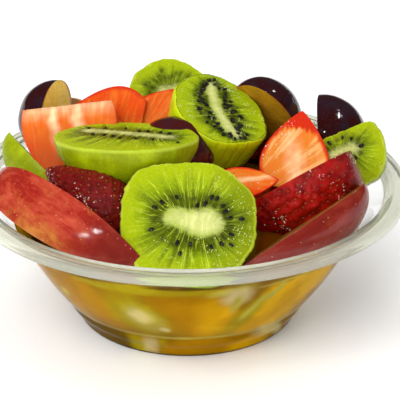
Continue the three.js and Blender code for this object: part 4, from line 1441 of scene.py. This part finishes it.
class FRUITSALAD_OT_strawberry(bpy.types.Operator):
    """Make the strawberry pieces and all their pips"""

    bl_idname = "fruitsalad.strawberry"
    bl_label = "Strawberries"

    def execute(self, context):
        s = settings_of(context).strawberry
        materials = [strawberry_flesh(s), strawberry_skin(s)]
        pips, beads = Seeds(), Seeds()
        for row in BERRIES:
            look = {**BERRY, **row}
            piece = strawberry(look, s, pips, materials)
            if look["wet"]:
                side, count = look["wet"]
                wet(piece, count, beads, s.seed + count, side)
        # Pale beads of juice on the strawberries: painted glints.
        juice = small_body("wet glint", (0.75, 0.45, 0.35), (0.97, 0.95, 0.9), **GLINT_BEAD_FINISH)
        scattered("wet_glints", beads, (0.5, 0.26, 0.16), 0.6, s.seed, juice)
        scattered("strawberry_pips", pips, (s.pip_length, s.pip_width, PIP_DEPTH), 0.2, s.seed,
                  seed_finish("strawberry pip", PIP_SHADE))
        return {"FINISHED"}


class FRUITSALAD_OT_stone_fruit(bpy.types.Operator):
    """Make the plum and nectarine pieces and the peeled kiwi wedge"""

    bl_idname = "fruitsalad.stone_fruit"
    bl_label = "Plum, Nectarine and Wedges"

    def execute(self, context):
        s = settings_of(context).stone
        peeled = kiwi_side(settings_of(context).kiwi)
        plum = stone_flesh("plum cut flesh", s.plum_flesh, darker(s.plum_flesh, 0.8),
                           (0.30, 0.03, 0.02))
        nectarine = stone_flesh("nectarine cut flesh", s.nectarine_flesh, (0.62, 0.42, 0.18),
                                (0.45, 0.07, 0.03))
        finishes = dict(kiwi=[peeled, peeled], plum=[plum_skin(s), plum],
                        nectarine=[nectarine_skin(s), nectarine])
        for look in WEDGES:
            wedge({**WEDGE, **look}, finishes[look["kind"]])
        return {"FINISHED"}


def lamp(name, place, size, power, **seen):
    """A round lamp that shines on the heap, with what sees it."""
    data = bpy.data.lights.new(name, "AREA")
    data.shape = "DISK"
    data.size = size * MM
    data.energy = power
    thing = shown(name, data)
    thing.location = Vector(place) * MM
    thing.rotation_euler = (Vector(place) - Vector(LAMP_AIM)).to_track_quat("Z", "Y").to_euler()
    for key, value in seen.items():
        setattr(thing, key, value)


class FRUITSALAD_OT_stage(bpy.types.Operator):
    """Set the pale floor, the soft light and the camera"""

    bl_idname = "fruitsalad.stage"
    bl_label = "Floor, Light and Camera"

    def execute(self, context):
        scene = context.scene
        mesh = bpy.data.meshes.new("pale_floor")
        signs = ((-1, -1), (1, -1), (1, 1), (-1, 1))
        corners = [(x * FLOOR_REACH, y * FLOOR_REACH, 0) for x, y in signs]
        mesh.from_pydata(corners, [], [(0, 1, 2, 3)])
        mesh.materials.append(floor_finish())
        floor = shown("pale_floor", mesh)
        floor.location.z = -FLOOR_DROP * MM
        world = bpy.data.worlds.new("soft light")
        world.use_nodes = True
        nodes = Nodes(world.node_tree)
        light = world.node_tree.nodes["Background"].inputs
        nodes.put(light["Color"], (1.0, 1.0, 1.0))
        ray = nodes.add("ShaderNodeLightPath").outputs
        glint = nodes.add("ShaderNodeMapRange",
                          {"Value": ray["Is Glossy Ray"], "To Min": 0.98, "To Max": 0.05})
        backdrop = nodes.add("ShaderNodeMath", {0: glint.outputs[0], 1: ray["Is Camera Ray"]},
                             operation="MAXIMUM")
        nodes.put(light["Strength"], backdrop.outputs[0])
        scene.world = world
        lamp("key_light", (-420, -620, 760), 900, 7.3, visible_glossy=False)
        for place, size, power in GLINT_LIGHTS:
            lamp("glint_light", place, size, power, visible_diffuse=False)
        e = math.radians(CAMERA_ELEVATION)
        data = bpy.data.cameras.new("camera")
        data.lens = CAMERA_LENS
        data.clip_start, data.clip_end = 0.05, 20.0
        camera = shown("camera", data)
        back, up = CAMERA_DISTANCE * math.cos(e), CAMERA_DISTANCE * math.sin(e)
        camera.location = Vector((0, -back, AIM_HEIGHT + up)) * MM
        camera.rotation_euler = (math.pi / 2 - e - math.radians(CAMERA_PITCH), 0.0,
                                 -math.radians(CAMERA_YAW))
        scene.camera = camera
        scene.view_settings.view_transform = "Standard"
        return {"FINISHED"}


class FRUITSALAD_PT_panel(bpy.types.Panel):
    """Fruit salad pieces"""

    bl_label = "Fruit Salad"
    bl_idname = "FRUITSALAD_PT_panel"
    bl_space_type = "VIEW_3D"
    bl_region_type = "UI"
    bl_category = "Fruit Salad"

    def draw(self, context):
        settings = settings_of(context)
        for operator in OPERATORS:
            self.layout.operator(operator.bl_idname)
        for group in ("bowl", "bed", "kiwi", "strawberry", "stone"):
            box = self.layout.box()
            box.label(text=group.title())
            chosen = getattr(settings, group)
            for key in chosen.__annotations__:
                box.prop(chosen, key)


GROUPS = (BowlSettings, KiwiSettings, StrawberrySettings, StoneFruitSettings, BedSettings,
          SaladSettings)
OPERATORS = (FRUITSALAD_OT_bowl, FRUITSALAD_OT_bed, FRUITSALAD_OT_kiwi, FRUITSALAD_OT_strawberry,
             FRUITSALAD_OT_stone_fruit, FRUITSALAD_OT_stage)


def register():
    """Adds the settings, the operators and the panel."""
    for kind in GROUPS + OPERATORS + (FRUITSALAD_PT_panel,):
        bpy.utils.register_class(kind)
    bpy.types.Scene.fruit_salad = bpy.props.PointerProperty(type=SaladSettings)


def unregister():
    """Takes them out again."""
    del bpy.types.Scene.fruit_salad
    for kind in reversed(GROUPS + OPERATORS + (FRUITSALAD_PT_panel,)):
        bpy.utils.unregister_class(kind)


def main():
    """Makes every piece and the stage."""
    register()
    bpy.ops.fruitsalad.bowl()
    bpy.ops.fruitsalad.bed()
    bpy.ops.fruitsalad.kiwi()
    bpy.ops.fruitsalad.strawberry()
    bpy.ops.fruitsalad.stone_fruit()
    bpy.ops.fruitsalad.stage()


if __name__ == "__main__":
    main()
